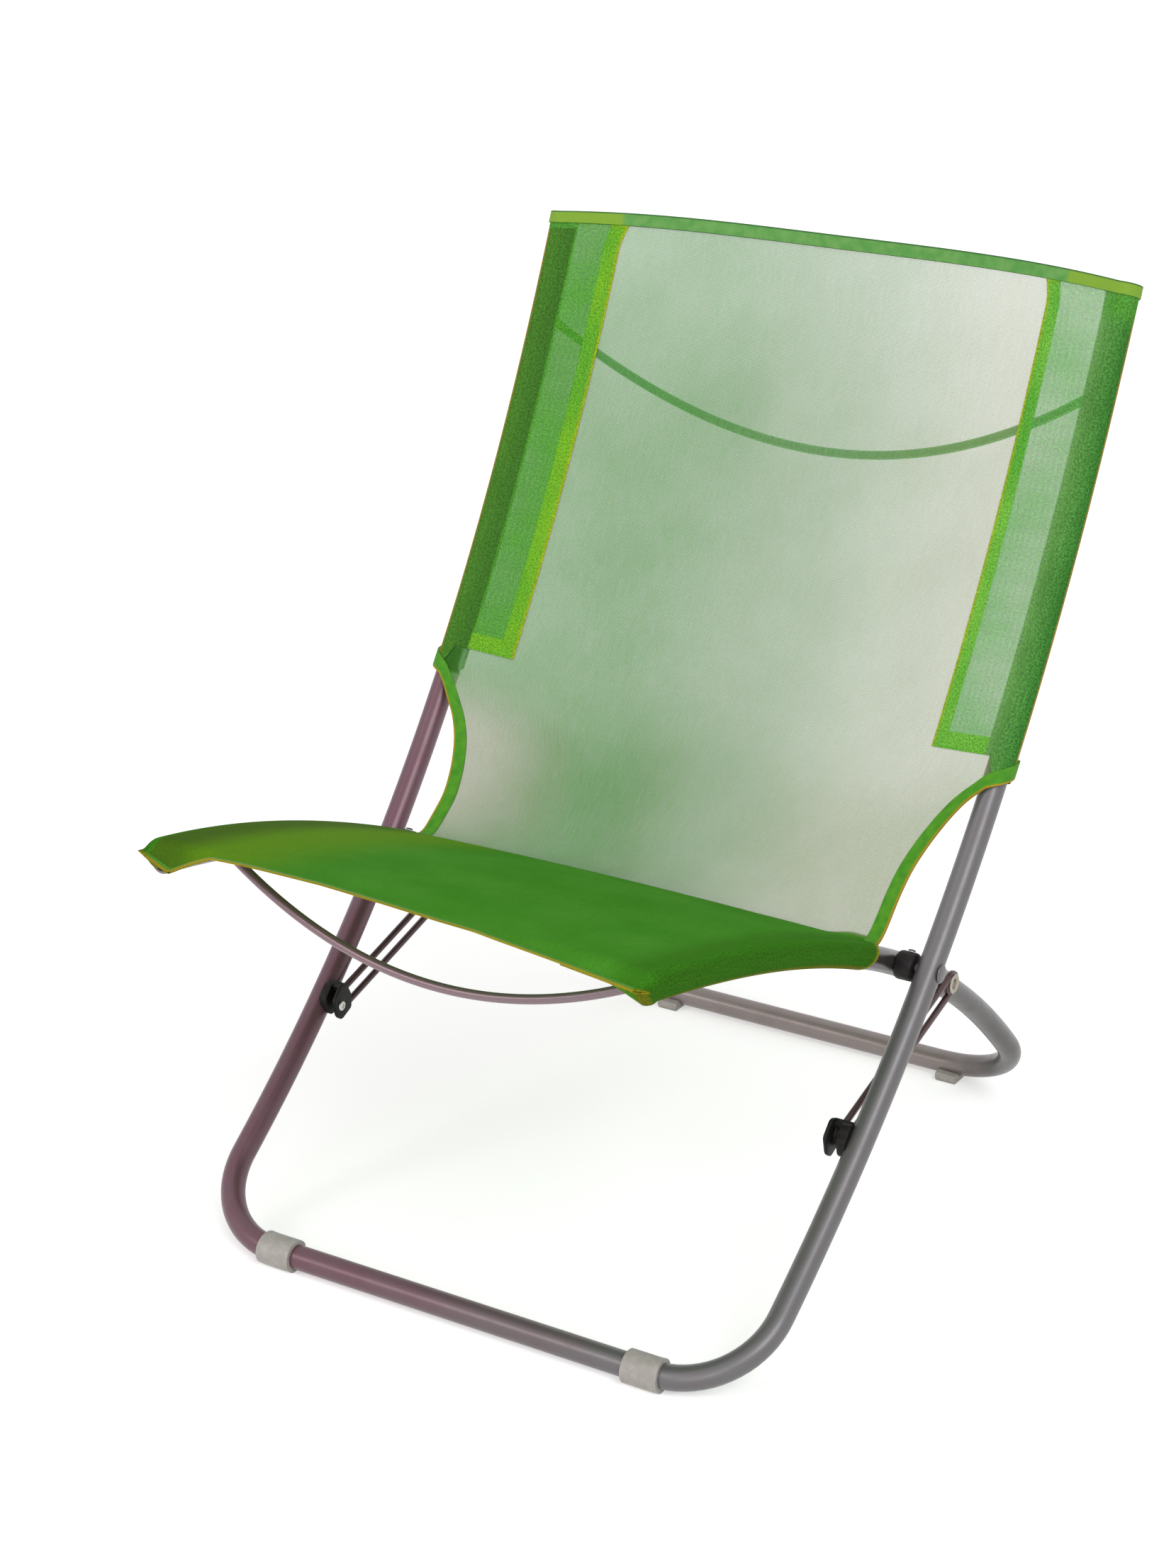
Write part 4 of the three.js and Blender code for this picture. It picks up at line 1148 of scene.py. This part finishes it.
def seat_sleeve_place(side, mouth):
    """Points of a seat sleeve; side is 1 on the right and -1 on the left."""
    share, mouth_x, mouth_lift = np.array(mouth).T

    def place(u, v):
        turn = math.pi * np.clip(u / wrap_share, 0, 1)
        flap = np.clip((u - wrap_share) / (1 - wrap_share), 0, 1)
        start = pivot_on_seat + np.interp(u, *zip(*seat_sleeve_starts))
        s = start + (seat_view.length - start) * v
        half = seat_half(s)
        seam = cloth_offset + seat_crown * (1 - ((half - seat_flap_width) / half) ** 2) - seam_tuck
        lift = cloth_offset * np.cos(turn) + flap * (seam + cloth_offset)
        out = cloth_offset * np.sin(turn) - seat_flap_width * flap
        ahead = seat_view.length - s
        slack = settle(ahead, mouth_depth)
        out = out + slack * (np.interp(u, share, mouth_x) - out)
        lift = lift + slack * (np.interp(u, share, mouth_lift) - lift)
        x = side * (half + out)
        points = np.column_stack([x, view_lift(seat_view, s, lift)])
        points[:, 2] += seat_slack(x, ahead)
        return points

    return place


def seat_sleeve_coverage(node, u, v, cloud):
    return ramp(node, cloud, 0.3, 0.7, 0.94, 1.06)


def seat_sleeve_tint(node, u, v, cloud):
    outward = ramp(node, u, 0.02, 0.14, 0.0, 1.0)
    shade = blend_colours(node, outward, (0.044, 0.205, 0.011, 1), (0.038, 0.150, 0.009, 1))
    shade = blend_colours(node, ramp(node, u, 0.27, 0.31, 0.0, 0.7), shade, (0.20, 0.17, 0.01, 1))
    shade = blend_colours(node, ramp(node, u, 0.38, 0.46, 0.0, 1.0), shade, (0.09, 0.25, 0.010, 1))
    amber = blend_colours(node, ramp(node, v, 0.0, 0.02, 0.7, 0.0), shade, (0.40, 0.30, 0.01, 1))
    return blend_colours(node, ramp(node, v, 0.985, 1.0, 0.0, 0.6), amber, (0.35, 0.27, 0.01, 1))


right_seat_place = seat_sleeve_place(1, right_mouth)
left_seat_place = seat_sleeve_place(-1, left_mouth)
seat_sleeve_size = flat_size(right_seat_place)
seat_sleeve_cloth = mesh_cloth(
    "seat_sleeve_cloth", seat_sleeve_size, seat_sleeve_coverage, seat_sleeve_tint, 0.25
)
seat_sleeve = cloth_piece("seat_sleeve_right", 60, 110, right_seat_place, cloth_thickness)
fit(seat_sleeve, "seat_frame", seat_sleeve_cloth, "mesh_cloth")
seat_sleeve_left = cloth_piece("seat_sleeve_left", 60, 110, left_seat_place, cloth_thickness)
fit(seat_sleeve_left, "seat_frame", seat_sleeve_cloth, "mesh_cloth")

# Bindings: a folded tape sewn along the cut-outs, the top edge and the front edge. At the top of each cut-out
# it wraps slantwise round the sleeve's lower end.
cutout_width = 0.012
cutout_inside = 0.93
binding_thickness = 0.0020
tape_turn = np.radians(120)
tape_turn_end = 0.16
tape_width = 0.014
tape_below = 0.004
tape_slant = 0.010
tape_drop = 0.012
tape_drop_end = 0.2
tape_lift = 0.0014
hang_from = 0.10
hang_ease = 0.18
crease_overlap = 0.004
top_width = 0.010
top_left_turn = math.radians(60)
top_right_turn = math.radians(130)
hem_lift = 0.0006
hem_thickness = 0.0044
front_width = 0.0035
front_thickness = 0.0016
past_ends = 0.6


def binding_tape(name, size, base, bright, edge_colour, end_colour, ends):
    """Woven tape: fine ribs across it, a coloured edge, and another colour towards its two ends."""
    material, node, surface = new_material(name)
    u, v, flat = on_cloth(node, size)
    cloud = noise(node, flat, 90, 4.0)
    ribs = node("ShaderNodeTexWave", {"Vector": flat, "Scale": 320, "Distortion": 0.6}, bands_direction="Y")
    shade = blend_colours(node, ramp(node, cloud, 0.3, 0.7, 0.0, 1.0), (*base, 1), (*bright, 1))
    from_middle = join(node, "SUBTRACT", v, 0.5)
    from_middle = node("ShaderNodeMath", {0: from_middle}, operation="ABSOLUTE").outputs["Value"]
    at_ends = ramp(node, from_middle, ends - 0.005, ends + 0.005, 0.0, 0.9)
    shade = blend_colours(node, at_ends, shade, (*end_colour, 1))
    shade = blend_colours(node, ramp(node, u, 0.84, 0.92, 0.0, 0.85), shade, (*edge_colour, 1))
    surface(Base_Color=shade, Normal=bumps(node, ribs.outputs["Fac"], 0.3, 0.0003))
    surface(Roughness=0.65, Specular_IOR_Level=0.2, Sheen_Weight=0.05)
    return material


def cutout_place(u, v):
    """Points of the right cut-out's tape: u from its inner edge out past the cloth's edge."""
    bend = eased((v - hang_from) / hang_ease)
    turn = tape_turn * np.clip(1 - v / tape_turn_end, 0, 1)
    s = back_sleeve_end - tape_below + tape_width * (1 - u) + tape_slant * (turn / tape_turn)
    s = s - tape_drop * np.clip(v / tape_drop_end, 0, 1)
    radius = sleeve_radius + tape_lift
    wrapped_x = rail_half(s) + radius * np.sin(turn)
    wrapped = np.column_stack([wrapped_x, view_lift(main_view, s, radius * np.cos(turn))])
    hang_length = crease_down + crease_overlap - waist_down[0]
    along = waist_down[0] + hang_length * np.clip((v - hang_from) / (1 - hang_from), 0, 1)
    half = np.interp(along, down, edge[:, 0])
    hanging = sling_place(along, 1 + ((u - cutout_inside) * cutout_width) / half)
    return wrapped * (1 - bend[:, None]) + hanging * bend[:, None]


amber = (0.42, 0.25, 0.01)
cutout_size = flat_size(cutout_place)
cutout_tape = binding_tape(
    "cutout_tape", cutout_size, (0.05, 0.25, 0.012), (0.09, 0.32, 0.014), amber, amber, past_ends
)
cutout = cloth_piece("cutout_tape_right", 10, 110, cutout_place, binding_thickness)
cutout_left = mirrored(cutout, "cutout_tape_left")
for piece in (cutout, cutout_left):
    piece.data.materials.append(cutout_tape)
    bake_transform(piece)


def top_place(u, v):
    """Points of the top hem: along the panel's top edge, then round the rails' outer sides."""
    below = (1 - u) * top_width
    s = main_view.length - below
    half, radius = rail_half(s), cloth_offset + hem_lift
    left_end, right_end = half + radius * top_left_turn, half + radius * top_right_turn
    across = -left_end + (left_end + right_end) * v
    turn = np.maximum(0, np.abs(across) - half) / radius
    a = np.clip(across / half, -1, 1)
    points = sling_place(below, a)
    points[:, 0] += np.sign(across) * radius * np.sin(turn)
    points[:, 1:] -= main_view.away(s) * (hem_lift - radius * (1 - np.cos(turn)))[:, None]
    return points


dark_edge = (0.03, 0.12, 0.03)
yellow_end = (0.22, 0.39, 0.03)
yellow_from = 0.37
top_size = flat_size(top_place)
top_tape = binding_tape(
    "top_tape", top_size, (0.09, 0.30, 0.06), (0.15, 0.36, 0.09), dark_edge, yellow_end, yellow_from
)
top_hem = cloth_piece("top_hem", 8, 150, top_place, hem_thickness)
fit(top_hem, "main_frame", top_tape, "mesh_cloth")


def front_place(u, v):
    return sling_place(sling_length - front_width * (1 - u), 2 * v - 1)


front_size = flat_size(front_place)
front_tape = binding_tape(
    "front_tape", front_size, (0.05, 0.24, 0.015), (0.08, 0.28, 0.015), amber, amber, past_ends
)
front_hem = cloth_piece("front_hem", 5, 90, front_place, front_thickness)
fit(front_hem, "seat_frame", front_tape, "mesh_cloth")

for piece, tube, size in (
    (back_sleeve, main_tube, sleeve_size),
    (back_sleeve_left, main_tube, sleeve_size),
    (seat_sleeve, seat_tube, seat_sleeve_size),
    (seat_sleeve_left, seat_tube, flat_size(left_seat_place)),
):
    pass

# The room: a plain white floor that takes a faint shadow, white all round it, and soft light from the right
# and above, with a weaker warm light from the left.
floor_size = 40
floor_glow = 0.42
room_light = 0.5
room_white = 1.0


def seen_ray(nodes, links):
    """1 where a camera, glossy or transmitted ray sees the white room itself, and 0 for its light."""
    path = nodes.new("ShaderNodeLightPath").outputs
    seen = path["Is Camera Ray"]
    for kind in ("Is Glossy Ray", "Is Transmission Ray"):
        either = nodes.new("ShaderNodeMath")
        either.operation = "MAXIMUM"
        links.new(seen, either.inputs[0])
        links.new(path[kind], either.inputs[1])
        seen = either.outputs["Value"]
    return seen


bpy.ops.object.select_all(action="DESELECT")
bpy.ops.mesh.primitive_plane_add(size=floor_size)
floor = bpy.context.object
floor.name = "floor"
floor_material, node, surface = new_material("white_floor")
floor_tree = floor_material.node_tree
glow = ramp(node, seen_ray(floor_tree.nodes, floor_tree.links), 0.0, 1.0, 0.0, floor_glow)
surface(Base_Color=(0.94, 0.94, 0.935, 1), Roughness=0.9, Specular_IOR_Level=0.1)
surface(Emission_Color=(1, 1, 1, 1), Emission_Strength=glow)
floor.data.materials.append(floor_material)

world = bpy.data.worlds.new("studio")
bpy.context.scene.world = world
world.use_nodes = True
sky = world.node_tree
level = sky.nodes.new("ShaderNodeMapRange")
level.inputs["To Min"].default_value = room_light
level.inputs["To Max"].default_value = room_white
sky.links.new(seen_ray(sky.nodes, sky.links), level.inputs["Value"])
background = sky.nodes["Background"]
background.inputs["Color"].default_value = (1.0, 1.0, 1.0, 1)
sky.links.new(level.outputs["Result"], background.inputs["Strength"])


def sun(name, azimuth, elevation, strength, softness, colour):
    """A distant soft light; azimuth 0 comes from the front of the chair and 90 from its right."""
    bpy.ops.object.light_add(type="SUN")
    light = bpy.context.object
    light.name = name
    a, e = math.radians(azimuth), math.radians(elevation)
    source = Vector((math.sin(a) * math.cos(e), -math.cos(a) * math.cos(e), math.sin(e)))
    light.rotation_mode = "QUATERNION"
    light.rotation_quaternion = source.to_track_quat("Z", "Y")
    light.data.energy = strength
    light.data.angle = math.radians(softness)
    light.data.color = colour


sun("key", 55, 42, 1.1, 30, (0.98, 0.99, 1.0))
sun("front", 10, 18, 0.5, 30, (1.0, 1.0, 1.0))
sun("fill", -32, 30, 0.5, 20, (1.0, 0.93, 0.90))

# The camera: in front of the chair, to its right and above, with a short telephoto lens. Its place and lens
# were fitted to the photograph's outlines.
camera_place = (1.2009, front_bar_y - 1.7645, 1.2925)
camera_down = 21.63
camera_turn = 31.54
bpy.ops.object.camera_add(location=camera_place)
camera = bpy.context.object
camera.rotation_euler = (math.radians(90 - camera_down), 0, math.radians(camera_turn))
camera.data.lens = 73.25
camera.data.sensor_width = 36
bpy.context.scene.camera = camera
bpy.context.scene.view_settings.view_transform = "Standard"
